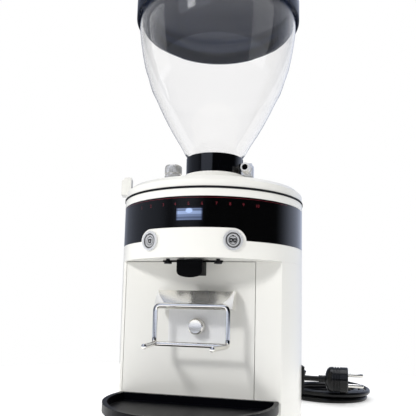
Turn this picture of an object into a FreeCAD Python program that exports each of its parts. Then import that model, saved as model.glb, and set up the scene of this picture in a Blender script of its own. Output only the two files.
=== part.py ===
import FreeCAD, Part
import math
import os
import Sketcher
from FreeCAD import Placement, Rotation, Vector

# Espresso grinder with vertical direct drive, flat burrs and a clear bean hopper.
# Millimetres. The origin is on the burr axis at the height of the counter, +Z is up,
# the front of the machine faces -Y and +X is to the right of someone who stands before it.

SIZES = {
    # housing
    "body_width": 195.0,
    "body_reach": 162.0,
    "rear_radius": 58.0,
    "front_flat": 52.0,
    "foot_height": 6.0,
    "base_height": 24.0,
    "column_height": 135.0,
    "head_height": 66.0,
    # base
    "base_wall": 5.0,
    "base_deck": 5.0,
    "tongue_inset": 5.0,
    "tongue_overlap": 6.0,
    "base_plate_thickness": 2.0,
    "foot_radius": 11.0,
    "front_foot_side": 48.0,
    "front_foot_ahead": 108.0,
    "rear_foot_side": 34.0,
    "rear_foot_inset": 40.0,
    "boss_radius": 6.5,
    "foot_screw_radius": 2.5,
    "foot_screw_head_radius": 4.5,
    "foot_screw_head_height": 3.0,
    "foot_screw_sink": 1.0,
    "foot_screw_reach": 18.0,
    # column
    "column_wall": 3.0,
    "front_wall": 6.0,
    "panel_thickness": 3.0,
    "panel_left": 79.8,
    "panel_right": 57.0,
    "panel_gap": 0.5,
    "window_side": 46.0,
    "window_margin": 10.0,
    "vent_width": 44.0,
    "vent_slot": 3.5,
    "vent_pitch": 8.0,
    "vent_count": 7,
    "holder_slot_width": 8.0,
    # head
    "head_wall": 4.0,
    "head_floor": 3.0,
    "head_mouth_lip": 11.5,
    "motor_hole_radius": 52.0,
    "band_bottom": 16.5,
    "band_height": 41.7,
    "band_depth": 2.5,
    "band_angle": 200.0,
    "band_gap": 0.2,
    "bump_radius": 11.6,
    "window_width": 27.0,
    "window_height": 14.0,
    "window_sill": 17.6,
    "window_glass": 1.5,
    # push buttons
    "button_angle": 24.65,
    "button_rise": 16.6,
    "button_rim_radius": 9.5,
    "button_rim_proud": 1.85,
    "button_cap_radius": 7.0,
    "button_barrel_radius": 8.2,
    "button_barrel_length": 19.0,
    "button_cap_sink": 0.5,
    "button_cap_length": 13.0,
    "button_clearance": 0.35,
    "barrel_end": 2.0,
    # control board behind the band
    "board_depth_share": 0.3544,
    "board_span_share": 0.9124,
    "board_edge_gap": 3.0,
    "board_thickness": 1.6,
    "board_bottom": 33.0,
    "board_height": 23.0,
    "module_width": 30.0,
    "module_height": 17.0,
    "module_gap": 1.0,
    # spout
    "spout_width": 26.0,
    "spout_setback": 5.5,
    "spout_back": 66.0,
    "spout_drop": 17.3,
    "spout_round": 14.6,
    "spout_wall": 2.5,
    "spout_top": 31.0,
    "spout_throat_height": 14.0,
    "spout_slope": 26.0,
    "spout_flange_width": 66.0,
    "spout_flange_setback": 6.0,
    "spout_flange_back": 60.0,
    "spout_flange_thickness": 2.5,
    "spout_screw_side": 25.0,
    "spout_screw_setback": 12.0,
    # grinding chamber, heights from the head's inner floor
    "chamber_flange_side": 54.0,
    "chamber_flange_thickness": 5.0,
    "chamber_outer_radius": 58.0,
    "chamber_radius": 46.0,
    "chamber_floor": 13.0,
    "chamber_height": 58.0,
    "port_width": 21.0,
    "port_bottom": 16.5,
    "port_height": 9.0,
    "bearing_outer_radius": 17.5,
    "bearing_height": 11.0,
    "bearing_seat_gap": 0.05,
    "bearing_lip_radius": 13.0,
    "chamber_screw_circle": 66.0,
    # motor
    "motor_radius": 44.0,
    "motor_wall": 3.8,
    "motor_bottom": 44.0,
    "motor_top_plate": 5.0,
    "shield_thickness": 8.0,
    "shield_hub_radius": 21.0,
    "shield_hub_height": 6.0,
    "core_bottom": 68.0,
    "core_height": 60.0,
    "stator_gap": 0.2,
    "stator_bore": 27.0,
    "air_gap": 0.7,
    "copper_height": 10.0,
    "copper_inner": 29.0,
    "copper_outer": 38.0,
    "shaft_radius": 7.5,
    "shaft_fit": 0.05,
    "shaft_bottom": 46.0,
    "shaft_top": 201.0,
    # burrs
    "burr_radius": 40.0,
    "burr_bore": 24.0,
    "burr_thickness": 8.0,
    "burr_dish": 3.0,
    "burr_gap": 0.6,
    "tooth_count": 18,
    "tooth_width": 5.2,
    "tooth_depth": 4.4,
    "tooth_fineness": 0.25,
    "tooth_skew": 7.0,
    "burr_screw_circle": 36.5,
    "burr_screw_radius": 1.9,
    "burr_screw_head_radius": 3.0,
    "burr_screw_head_height": 2.6,
    "burr_screw_length": 9.0,
    "carrier_radius": 42.0,
    "carrier_thickness": 8.0,
    "carrier_hub_radius": 14.0,
    "carrier_floor_gap": 2.0,
    "sweeper_reach": 45.2,
    "sweeper_width": 5.0,
    # adjusting ring
    "drum_gap": 1.5,
    "drum_inset": 0.5,
    "drum_height": 11.5,
    "drum_shoulder": 4.5,
    "drum_shoulder_drop": 4.0,
    "drum_wall": 3.5,
    "drum_deck": 6.0,
    "drum_hub_radius": 62.0,
    "boss_outer_radius": 35.0,
    "boss_height": 31.2,
    "upper_carrier_gap": 0.6,
    "upper_flange_radius": 60.0,
    "sleeve_radius": 31.0,
    "throat_radius": 23.0,
    "sleeve_gap": 0.3,
    "lever_angle": -73.0,
    "lever_sink": 13.0,
    "lever_reach": 5.6,
    "lever_width": 16.0,
    "lever_height": 15.6,
    "lever_round": 4.0,
    "lever_foot": 4.0,
    "lever_screw_radius": 2.0,
    "lever_screw_spread": 5.0,
    "lever_screw_head_height": 2.0,
    "lever_screw_reach": 4.0,
    # hopper collar and its clamp screw
    "collar_height": 21.0,
    "collar_radius": 32.0,
    "collar_bore": 28.9,
    "collar_split": 3.0,
    "ear_reach": 43.5,
    "ear_thickness": 7.0,
    "ear_height": 13.0,
    "ear_rise": 0.5,
    "collar_screw_side": 38.2,
    "collar_screw_rise": 6.5,
    "collar_screw_radius": 2.0,
    "collar_screw_head_radius": 4.8,
    "collar_screw_head_length": 12.0,
    "socket_width": 2.3,
    "socket_depth": 4.0,
    # lock knob of the grind setting
    "lock_knob_side": -29.0,
    "lock_knob_share": 0.4032258,
    "lock_knob_radius": 8.8,
    "lock_knob_height": 18.0,
    "lock_knob_lift": 1.4,
    "lock_stud_radius": 3.0,
    "lock_stud_length": 9.0,
    "knurl_depth": 0.6,
    "knurl_count": 20,
    # hopper
    "neck_radius": 28.6,
    "neck_height": 21.3,
    "hopper_wall": 2.5,
    "hopper_foot_radius": 30.8,
    "hopper_rim_radius": 90.5,
    "hopper_height": 169.7,
    "guard_height": 5.0,
    "guard_drop": 16.0,
    "guard_rib": 3.0,
    "guard_ring": 2.5,
    "guard_hub": 5.0,
    # lid
    "lid_radius": 93.5,
    "lid_wall": 2.3,
    "lid_skirt": 11.0,
    "lid_plug_radius": 84.4,
    "lid_plug_depth": 24.0,
    "lid_crown": 13.0,
    "lid_rest_gap": 0.4,
    # portafilter holder, heights from the counter
    "holder_plate_side": 31.0,
    "holder_plate_bottom": 84.0,
    "holder_plate_top": 133.6,
    "holder_thickness": 1.6,
    "holder_gap": 0.4,
    "holder_side": 39.0,
    "rest_front": 77.4,
    "rest_back": 66.0,
    "rest_bottom": 117.0,
    "rest_top": 135.2,
    "rest_flange_drop": 13.0,
    "wing_back": 61.0,
    "wire_radius": 2.4,
    "wire_side": 36.0,
    "wire_ahead": 80.4,
    "wire_top": 120.3,
    "wire_bottom": 83.4,
    "wire_bend": 7.0,
    "prong_reach": 122.0,
    "prong_side": 31.0,
    "holder_screw_side": 22.0,
    "holder_screw_height": 127.5,
    "holder_screw_radius": 2.0,
    "holder_screw_head_radius": 3.6,
    "holder_screw_head": 2.0,
    "clamp_rise": 16.2,
    "clamp_knob_radius": 8.0,
    "clamp_knob_front": 66.0,
    "clamp_stud_radius": 2.9,
    "clamp_stud_end": 44.9,
    "clamp_nut_width": 18.0,
    "clamp_nut_height": 18.4,
    "clamp_nut_thickness": 3.3,
    "clamp_hole_gap": 0.3,
    "holder_travel": 12.0,
    # tray
    "tray_side": 82.0,
    "tray_reach": 162.0,
    "tray_nose": 75.0,
    "tray_belly": 90.0,
    "tray_seat": 22.0,
    "tray_depth": 10.0,
    "tray_wall": 4.5,
    "tray_floor": 3.0,
    "tray_bevel": 2.0,
    "tray_gap": 0.4,
    # power switch
    "switch_angle": 12.0,
    "switch_height": 45.0,
    "switch_width": 21.0,
    "switch_tall": 28.0,
    "switch_proud": 2.7,
    "switch_depth": 20.0,
    "switch_body_width": 18.0,
    "switch_body_tall": 24.0,
    "switch_gap": 0.3,
    "rocker_width": 12.4,
    "rocker_tall": 19.6,
    "rocker_depth": 3.4,
    "rocker_proud": 2.4,
    "rocker_dip": 1.5,
    "rocker_gap": 0.8,
    "rocker_tilt": 8.0,
    # cooling fan
    "fan_side": 30.0,
    "fan_rear_gap": 13.0,
    "fan_thickness": 15.0,
    "fan_height": 100.0,
    "fan_bore": 28.4,
    "fan_hub": 12.5,
    "fan_blade_reach": 27.4,
    "fan_blade_chord": 13.0,
    "fan_blade_thickness": 1.4,
    "fan_blade_pitch": 38.0,
    "fan_blade_count": 5,
    "fan_strut": 4.0,
    "fan_back": 2.6,
    "fan_clearance": 0.8,
    "fan_boss_spread": 25.0,
    "fan_boss_radius": 4.0,
    # electrics
    "capacitor_side": -36.0,
    "capacitor_rear_gap": 72.0,
    "capacitor_radius": 17.5,
    "capacitor_height": 75.0,
    "supply_side": 34.0,
    "supply_rear_gap": 100.0,
    "supply_length": 56.0,
    "supply_height": 84.0,
    "transformer_width": 26.0,
    "transformer_length": 34.0,
    "transformer_height": 36.0,
    "transformer_rise": 14.0,
    "terminal_side": -18.0,
    "terminal_length": 30.0,
    "terminal_depth": 11.0,
    "terminal_height": 13.0,
    "terminal_rear_gap": 46.0,
    # mains lead
    "cord_radius": 3.3,
    "gland_angle": 30.0,
    "gland_height": 18.0,
    "gland_flange_radius": 8.5,
    "gland_flange": 3.0,
    "gland_spigot_radius": 6.5,
    "gland_length": 25.0,
    "gland_tip_radius": 5.0,
    "plug_radius": 16.0,
    "plug_length": 24.0,
    "plug_relief": 13.0,
    "plug_pin_radius": 2.4,
    "plug_pin_length": 19.0,
    "plug_pin_spread": 9.5,
    "plug_roll": 53.0,
    "coil_side": 119.0,
    "coil_rear_gap": 38.0,
    "coil_radius": 53.4,
    "coil_step": 3.7,
    "coil_layer": 7.4,
    "coil_floor_gap": 0.2,
    "coil_crossing_inset": 1.4,
    "coil_crossing_bulge": 1.6,
    "coil_rise": 15.0,
    # shared clearances
    "seat_gap": 0.3,
    "hole_gap": 0.3,
    "overrun": 2.0,
}

DERIVED = {
    "head_radius": "=body_width / 2",
    "rear_centre": "=body_reach - rear_radius",
    "rear_foot_behind": "=body_reach - rear_foot_inset",
    "base_top": "=foot_height + base_height",
    "head_bottom": "=base_top + column_height",
    "head_top": "=head_bottom + head_height",
    "head_inside": "=head_bottom + head_floor",
    "head_mouth_radius": "=head_radius - head_mouth_lip",
    "bump_side": "=head_radius * sin(button_angle * 1deg)",
    "board_ahead": "=chamber_outer_radius"
                   " + (head_radius - chamber_outer_radius) * board_depth_share",
    "board_side": "=sqrt((head_radius - head_wall - board_edge_gap) ^ 2 - board_ahead ^ 2)"
                  " * board_span_share",
    "spout_front": "=head_radius - spout_setback",
    "spout_flange_front": "=spout_front - spout_flange_setback",
    "spout_screw_ahead": "=spout_front - spout_screw_setback",
    "drum_radius": "=head_radius - drum_inset",
    "lock_knob_ahead": "=boss_outer_radius"
                       " + (drum_radius - boss_outer_radius) * lock_knob_share",
    "lever_inner": "=drum_radius - lever_sink",
    "lever_outer": "=drum_radius + lever_reach",
    "clamp_height": "=holder_plate_bottom + clamp_rise",
    "fan_front": "=body_reach - fan_rear_gap - fan_thickness",
    "capacitor_behind": "=body_reach - capacitor_rear_gap",
    "supply_front": "=body_reach - supply_rear_gap",
    "terminal_behind": "=body_reach - terminal_rear_gap",
    "coil_behind": "=body_reach + coil_rear_gap",
    "button_height": "=head_bottom + button_rise",
    "tray_widest": "=tray_reach - tray_belly",
    "tray_shift": "=((tray_reach - tray_widest - tray_nose) ^ 2 - (tray_side - tray_nose) ^ 2)"
                  " / (2 * (tray_side - tray_nose))",
    "tray_flank": "=tray_side + tray_shift",
    "tray_rear": "=front_flat + tray_gap",
    "tray_top": "=tray_seat + tray_depth",
    "chamber_top": "=head_inside + chamber_height",
    "carrier_bottom": "=head_inside + chamber_floor + carrier_floor_gap",
    "lower_burr_seat": "=carrier_bottom + carrier_thickness",
    "lower_burr_face": "=lower_burr_seat + burr_thickness",
    "upper_burr_face": "=lower_burr_face + burr_gap",
    "upper_burr_seat": "=upper_burr_face + burr_thickness",
    "drum_bottom": "=head_top + drum_gap",
    "drum_top": "=drum_bottom + drum_height",
    "boss_top": "=drum_bottom + boss_height",
    "collar_top": "=boss_top + collar_height",
    "hopper_foot": "=boss_top + neck_height + seat_gap",
    "hopper_rim": "=hopper_foot + hopper_height",
    "lid_seat": "=hopper_rim + lid_rest_gap",
    "lid_top": "=lid_seat + lid_crown",
    "core_top": "=core_bottom + core_height",
    "motor_top": "=head_inside",
    "shield_top": "=motor_bottom + shield_thickness",
    "lower_bearing_bottom": "=shield_top + shield_hub_height - bearing_height",
    "band_low": "=head_bottom + band_bottom",
    "band_high": "=band_low + band_height",
    "window_low": "=band_low + window_sill",
    "module_low": "=window_low - (module_height - window_height) / 2",
    "board_low": "=head_bottom + board_bottom",
    "spout_bottom": "=head_bottom - spout_drop",
    "spout_crest": "=head_bottom + spout_top",
    "port_low": "=head_inside + port_bottom",
    "rotor_radius": "=stator_bore - air_gap",
    "panel_face": "=front_flat - panel_thickness",
    "holder_face": "=front_flat + holder_gap",
    "holder_front": "=holder_face + holder_thickness",
    "coil_bottom": "=cord_radius + coil_floor_gap",
    "coil_top": "=coil_bottom + coil_layer",
    "coil_end": "=coil_top + coil_rise",
    "coil_top_surface": "=coil_top + cord_radius",
    "plug_height": "=coil_top_surface + plug_radius + seat_gap",
    "lock_knob_bottom": "=drum_top + lock_knob_lift",
    "fan_low": "=fan_height - fan_side",
    "fan_back_face": "=fan_front + fan_thickness",
    "switch_face": "=head_radius + switch_proud",
    "capacitor_base": "=base_top + seat_gap",
}

# Shares of the hopper's height and of its rim radius, from its foot to its rim.
HOPPER_SHARES = [(0.0, 0.34), (0.4, 0.755), (0.62, 0.91), (1.0, 1.0)]

# Shares of the drop from the gland to the floor that are left at each bend of the lead.
DROP_SHARES = [1.0, 0.6, 0.2, 0.0, 0.0, 0.0]
TAIL_BENDS = 5

doc = FreeCAD.newDocument("espresso_grinder")
sheet = doc.addObject("Spreadsheet::Sheet", "Sizes")
nodes = []


def fill_sheet():
    """Writes every driving size and every derived one into the sheet."""
    row = 1
    for name, text in [*SIZES.items(), *DERIVED.items()]:
        sheet.set("A%d" % row, name)
        sheet.set("B%d" % row, str(text))
        sheet.setAlias("B%d" % row, name)
        row += 1
    doc.recompute()


def read(name):
    return float(sheet.get(name))


def product(words):
    total = 1.0
    divide = False
    for word in words:
        if word in "*/":
            divide = word == "/"
            continue
        number = float(word) if word[0].isdigit() else read(word)
        total = total / number if divide else total * number
    return total


def value(text):
    """Number that a sum of products of sheet names stands for."""
    total = 0.0
    sign = 1.0
    words = []
    for word in text.split() + ["+"]:
        if word not in ("+", "-"):
            words.append(word)
            continue
        if words:
            total += sign * product(words)
        sign = -1.0 if word == "-" else 1.0
        words = []
    return total


def bound(text):
    """The same sum as an expression on the sheet."""
    return " ".join("Sizes." + word if word[0].isalpha() else word for word in text.split())


def bind(thing, target, text):
    thing.setExpression(target, bound(text))


# Sketches and features

def new_body(label):
    body = doc.addObject("PartDesign::Body", label)
    body.Label = label
    return body


def origin_part(body, role):
    for feature in body.Origin.OriginFeatures:
        if feature.Role == role:
            return feature
    raise ValueError(role)


def sketch_on(body, name, role, at="0"):
    """Sketch parallel to an origin plane, at a height along that plane's own axis."""
    sketch = body.newObject("Sketcher::SketchObject", name)
    sketch.AttachmentSupport = [(origin_part(body, role), "")]
    sketch.MapMode = "FlatFace"
    if at != "0":
        if role == "XZ_Plane":
            sketch.setExpression("AttachmentOffset.Base.z", "-(" + bound(at) + ")")
            sketch.AttachmentOffset = Placement(Vector(0, 0, -value(at)), Rotation())
        else:
            sketch.setExpression("AttachmentOffset.Base.z", bound(at))
            sketch.AttachmentOffset = Placement(Vector(0, 0, value(at)), Rotation())
    return sketch


def pin(sketch, element, end, x, y):
    """Holds one point of a sketch at places given by the sheet."""
    for kind, text in (("DistanceX", x), ("DistanceY", y)):
        index = sketch.addConstraint(Sketcher.Constraint(kind, -1, 1, element, end, value(text)))
        if text != "0":
            bind(sketch, "Constraints[%d]" % index, text)


def radius_of(sketch, element, text):
    index = sketch.addConstraint(Sketcher.Constraint("Radius", element, value(text)))
    bind(sketch, "Constraints[%d]" % index, text)


def join(sketch, *pairs):
    for kind, first, first_end, second, second_end in pairs:
        sketch.addConstraint(Sketcher.Constraint(kind, first, first_end, second, second_end))


def polygon(sketch, points):
    """Closed outline of straight edges through sheet-driven points."""
    spots = [Vector(value(x), value(y), 0) for x, y in points]
    count = len(points)
    first = sketch.GeometryCount
    for index in range(count):
        sketch.addGeometry(Part.LineSegment(spots[index], spots[(index + 1) % count]), False)
    for index in range(count):
        join(sketch, ("Coincident", first + index, 2, first + (index + 1) % count, 1))
    for index, (x, y) in enumerate(points):
        pin(sketch, first + index, 1, x, y)


def rectangle(sketch, low_x, high_x, low_y, high_y):
    polygon(sketch, [(low_x, low_y), (high_x, low_y), (high_x, high_y), (low_x, high_y)])


def circle(sketch, x, y, radius):
    spot = Vector(value(x), value(y), 0)
    element = sketch.addGeometry(Part.Circle(spot, Vector(0, 0, 1), value(radius)), False)
    pin(sketch, element, 3, x, y)
    radius_of(sketch, element, radius)


def arc(sketch, x, y, radius, start, end):
    ring = Part.Circle(Vector(x, y, 0), Vector(0, 0, 1), radius)
    return sketch.addGeometry(Part.ArcOfCircle(ring, start, end), False)


def line(sketch, start, end):
    return sketch.addGeometry(Part.LineSegment(Vector(*start, 0), Vector(*end, 0)), False)


def housing_outline(body, name, at, inset, flat):
    """Plan of the housing: round front cut flat, straight flanks, smaller round rear."""
    sketch = sketch_on(body, name, "XY_Plane", at)
    front = value("head_radius " + less(inset))
    rear = value("rear_radius " + less(inset))
    back = value("rear_centre")
    cut = value(flat)
    slant = math.asin((front - rear) / back)
    corner = math.asin(cut / front)
    right = arc(sketch, 0, 0, front, -corner, slant)
    left = arc(sketch, 0, 0, front, math.pi - slant, math.pi + corner)
    stern = arc(sketch, 0, back, rear, slant, math.pi - slant)
    lean = (math.cos(slant), math.sin(slant))
    flank_right = line(sketch, (front * lean[0], front * lean[1]),
                       (rear * lean[0], back + rear * lean[1]))
    flank_left = line(sketch, (-rear * lean[0], back + rear * lean[1]),
                      (-front * lean[0], front * lean[1]))
    half = math.sqrt(front ** 2 - cut ** 2)
    face = line(sketch, (-half, -cut), (half, -cut))
    join(sketch, ("Coincident", right, 3, -1, 1), ("Coincident", left, 3, -1, 1),
         ("Tangent", right, 2, flank_right, 1), ("Tangent", flank_right, 2, stern, 1),
         ("Tangent", stern, 2, flank_left, 1), ("Tangent", flank_left, 2, left, 1),
         ("Coincident", left, 2, face, 1), ("Coincident", face, 2, right, 1))
    sketch.addConstraint(Sketcher.Constraint("Equal", right, left))
    sketch.addConstraint(Sketcher.Constraint("Horizontal", face))
    radius_of(sketch, right, "head_radius " + less(inset))
    radius_of(sketch, stern, "rear_radius " + less(inset))
    pin(sketch, stern, 3, "0", "rear_centre")
    index = sketch.addConstraint(Sketcher.Constraint("DistanceY", -1, 1, face, 1, -cut))
    bind(sketch, "Constraints[%d]" % index, less(flat))
    return sketch


def round_housing_outline(body, name, at, inset):
    """The same plan with its whole round front, as the head has it."""
    sketch = sketch_on(body, name, "XY_Plane", at)
    front = value("head_radius " + less(inset))
    rear = value("rear_radius " + less(inset))
    back = value("rear_centre")
    slant = math.asin((front - rear) / back)
    nose = arc(sketch, 0, 0, front, math.pi - slant, 2 * math.pi + slant)
    stern = arc(sketch, 0, back, rear, slant, math.pi - slant)
    lean = (math.cos(slant), math.sin(slant))
    flank_right = line(sketch, (front * lean[0], front * lean[1]),
                       (rear * lean[0], back + rear * lean[1]))
    flank_left = line(sketch, (-rear * lean[0], back + rear * lean[1]),
                      (-front * lean[0], front * lean[1]))
    join(sketch, ("Coincident", nose, 3, -1, 1),
         ("Tangent", nose, 2, flank_right, 1), ("Tangent", flank_right, 2, stern, 1),
         ("Tangent", stern, 2, flank_left, 1), ("Tangent", flank_left, 2, nose, 1))
    radius_of(sketch, nose, "head_radius " + less(inset))
    radius_of(sketch, stern, "rear_radius " + less(inset))
    pin(sketch, stern, 3, "0", "rear_centre")
    return sketch


def tray_outline(body, name, at, inset, rear):
    """Plan of the tray: straight rear edge, two bulging flanks and a rounder nose."""
    sketch = sketch_on(body, name, "XY_Plane", at)
    shift = value("tray_shift")
    flank = value("tray_flank " + less(inset))
    nose = value("tray_nose " + less(inset))
    widest = -value("tray_widest")
    nose_y = -value("tray_reach - tray_nose")
    edge = -value(rear)
    lean = math.atan2(widest - nose_y, shift)
    turn = math.asin((edge - widest) / flank)
    half = flank * math.cos(turn) - shift
    right = arc(sketch, -shift, widest, flank, -lean, turn)
    bow = arc(sketch, 0, nose_y, nose, math.pi + lean, 2 * math.pi - lean)
    left = arc(sketch, shift, widest, flank, math.pi - turn, math.pi + lean)
    back = line(sketch, (half, edge), (-half, edge))
    join(sketch, ("Tangent", bow, 2, right, 1), ("Tangent", left, 2, bow, 1),
         ("Coincident", right, 2, back, 1), ("Coincident", back, 2, left, 1))
    sketch.addConstraint(Sketcher.Constraint("Horizontal", back))
    pin(sketch, right, 3, "- tray_shift", "- tray_widest")
    pin(sketch, left, 3, "tray_shift", "- tray_widest")
    pin(sketch, bow, 3, "0", "- tray_reach + tray_nose")
    radius_of(sketch, right, "tray_flank " + less(inset))
    index = sketch.addConstraint(Sketcher.Constraint("DistanceY", -1, 1, back, 1, edge))
    bind(sketch, "Constraints[%d]" % index, less(rear))
    return sketch


def less(text):
    """The same sum with every sign turned round, led by its sign."""
    words = text.split()
    if words[0] not in "+-":
        words = ["+"] + words
    return " ".join({"+": "-", "-": "+"}.get(word, word) for word in words)


def grow(body, kind, name, sketch, length, reverse=False, both=False):
    """Adds a pad or pocket and makes sure that it changed the solid."""
    doc.recompute()
    before = 0.0 if body.Shape.isNull() else body.Shape.Volume
    feature = body.newObject("PartDesign::" + kind, name)
    feature.Profile = sketch
    bind(feature, "Length", length)
    feature.Reversed = reverse
    feature.Midplane = both
    doc.recompute()
    change = body.Shape.Volume - before
    if (kind == "Pad" and change <= 0) or (kind == "Pocket" and change >= 0):
        raise ValueError("%s left %s as it was" % (name, body.Label))
    return feature


def pad(body, name, sketch, length, reverse=False, both=False):
    return grow(body, "Pad", name, sketch, length, reverse, both)


def pocket(body, name, sketch, length, reverse=False, both=False):
    return grow(body, "Pocket", name, sketch, length, reverse, both)


def turned(label, points):
    """Solid of revolution about the vertical axis from an outline of radii and heights."""
    body = new_body(label)
    sketch = sketch_on(body, label + "_profile", "XZ_Plane")
    polygon(sketch, points)
    feature = body.newObject("PartDesign::Revolution", label + "_turn")
    feature.Profile = sketch
    feature.ReferenceAxis = (sketch, ["V_Axis"])
    feature.Angle = 360
    doc.recompute()
    return body


def repeat(body, name, feature, role, count):
    """Copies a feature round one of the body's own axes."""
    pattern = body.newObject("PartDesign::PolarPattern", name)
    pattern.Originals = [feature]
    pattern.Axis = (origin_part(body, role), [""])
    pattern.Angle = 360
    bind(pattern, "Occurrences", count)
    body.Tip = pattern
    doc.recompute()
    return pattern


# Part primitives

def place(thing, x, y, z, axis=None, angle=0):
    thing.Placement = Placement(Vector(value(x), value(y), value(z)),
                                Rotation(axis or Vector(0, 0, 1), angle))
    for letter, text in zip("xyz", (x, y, z)):
        if text != "0":
            bind(thing, "Placement.Base." + letter, text)


def box(label, low, high):
    thing = doc.addObject("Part::Box", label)
    for target, start, stop in zip(("Length", "Width", "Height"), low, high):
        thing.setExpression(target, "(%s) - (%s)" % (bound(stop), bound(start)))
    place(thing, *low)
    return thing


def cylinder(label, radius, low, high, x="0", y="0"):
    thing = doc.addObject("Part::Cylinder", label)
    bind(thing, "Radius", radius)
    thing.setExpression("Height", "(%s) - (%s)" % (bound(high), bound(low)))
    place(thing, x, y, low)
    return thing


def rod(label, radius, low, high, x="0", z="0"):
    """Cylinder along +Y."""
    thing = doc.addObject("Part::Cylinder", label)
    bind(thing, "Radius", radius)
    thing.setExpression("Height", "(%s) - (%s)" % (bound(high), bound(low)))
    place(thing, x, low, z, Vector(1, 0, 0), -90)
    return thing


def hexagon(label, radius, low, high, x="0", y="0"):
    thing = doc.addObject("Part::Prism", label)
    thing.Polygon = 6
    bind(thing, "Circumradius", radius)
    thing.setExpression("Height", "(%s) - (%s)" % (bound(high), bound(low)))
    place(thing, x, y, low)
    return thing


def many_sided(label, sides, apothem, low, high):
    """Regular prism with a flat towards the front."""
    thing = doc.addObject("Part::Prism", label)
    thing.Polygon = sides
    share = "cos(%g deg)" % (180.0 / sides)
    thing.setExpression("Circumradius", "(%s) / %s" % (bound(apothem), share))
    thing.setExpression("Height", "(%s) - (%s)" % (bound(high), bound(low)))
    place(thing, "0", "0", low, Vector(0, 0, 1), 180.0 / sides)
    return thing


def fuse(label, *things):
    thing = doc.addObject("Part::MultiFuse", label)
    thing.Shapes = list(things)
    return thing


def cut(label, base, *tools):
    thing = doc.addObject("Part::Cut", label)
    thing.Base = base
    thing.Tool = tools[0] if len(tools) == 1 else fuse(label + "_tools", *tools)
    return thing


def common(label, *things):
    thing = doc.addObject("Part::MultiCommon", label)
    thing.Shapes = list(things)
    return thing


def group(label, *things):
    """Several solids that share a node."""
    thing = doc.addObject("Part::Compound", label)
    thing.Links = list(things)
    return thing


def swing(thing, angle):
    """Turns a finished piece about the vertical axis."""
    if thing.TypeId == "Part::Box":
        thing = group(thing.Name + "_set", thing)
    thing.Placement = Placement(Vector(), Rotation(Vector(0, 0, 1), value(angle)))
    bind(thing, "Placement.Rotation.Angle", angle)
    return thing


def shape_of(label, shape):
    thing = doc.addObject("Part::Feature", label)
    thing.Shape = shape
    return thing


def node(thing, name):
    """Names a finished sub-part and lists it for export."""
    thing.Label = name
    nodes.append((name, thing))
    return thing


# Base, feet and column

FOOT_SPOTS = [
    ("front_foot_side", "- front_foot_ahead"),
    ("- front_foot_side", "- front_foot_ahead"),
    ("rear_foot_side", "rear_foot_behind"),
    ("- rear_foot_side", "rear_foot_behind"),
]


def make_base():
    body = new_body("base_blank")
    outline = housing_outline(body, "base_outline", "foot_height", "0", "front_flat")
    pad(body, "base_block", outline, "base_height")
    tongue = tray_outline(body, "tongue_outline", "foot_height", "tongue_inset",
                          "front_flat - tongue_overlap")
    pad(body, "tongue", tongue, "tray_seat - foot_height - seat_gap")
    hollow = housing_outline(body, "base_hollow_outline", "foot_height", "base_wall",
                             "front_flat - base_wall")
    pocket(body, "base_hollow", hollow, "base_height - base_deck", reverse=True)
    inner = tray_outline(body, "tongue_hollow_outline", "foot_height", "tongue_inset + base_wall",
                         "front_flat - base_wall - overrun")
    pocket(body, "tongue_hollow", inner, "tray_seat - foot_height - seat_gap - base_wall",
           reverse=True)
    for name, spots, height in (
            ("front_bosses", FOOT_SPOTS[:2],
             "tray_seat - foot_height - seat_gap - base_plate_thickness - overrun"),
            ("rear_bosses", FOOT_SPOTS[2:],
             "base_height - base_plate_thickness - base_deck / 2")):
        bosses = sketch_on(body, name + "_outline", "XY_Plane",
                           "foot_height + base_plate_thickness")
        for x, y in spots:
            circle(bosses, x, y, "boss_radius")
        pad(body, name, bosses, height)
    tools = []
    for index, (x, y) in enumerate(FOOT_SPOTS):
        tools.append(cylinder("base_screw_hole_%d" % index, "foot_screw_radius + hole_gap",
                              "foot_height", "foot_screw_reach + hole_gap", x, y))
    bore = rod("gland_hole", "gland_spigot_radius + hole_gap",
               "rear_radius - base_wall - overrun", "rear_radius + overrun", "0", "0")
    tools.append(gland_place(bore))
    node(cut("base_casting_cut", body, *tools), "base_casting")


def gland_place(thing):
    """Carries a piece built along +Y about the rear arc's centre to the gland's place."""
    holder = group(thing.Name + "_set", thing)
    holder.Placement = Placement(Vector(0, value("rear_centre"), value("gland_height")),
                                 Rotation(Vector(0, 0, 1), value("gland_angle")))
    bind(holder, "Placement.Base.y", "rear_centre")
    bind(holder, "Placement.Base.z", "gland_height")
    bind(holder, "Placement.Rotation.Angle", "gland_angle")
    return holder


def make_base_plate():
    body = new_body("base_plate_blank")
    outline = housing_outline(body, "plate_outline", "foot_height", "base_wall + seat_gap",
                              "front_flat - base_wall - seat_gap")
    pad(body, "plate_rear", outline, "base_plate_thickness")
    front = tray_outline(body, "plate_front_outline", "foot_height",
                         "tongue_inset + base_wall + seat_gap",
                         "front_flat - base_wall - overrun - seat_gap")
    pad(body, "plate_front", front, "base_plate_thickness")
    holes = [cylinder("plate_hole_%d" % index, "foot_screw_radius + hole_gap",
                      "foot_height - overrun", "foot_height + base_plate_thickness + overrun",
                      x, y)
             for index, (x, y) in enumerate(FOOT_SPOTS)]
    node(cut("base_plate_cut", body, *holes), "base_plate")


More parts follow.
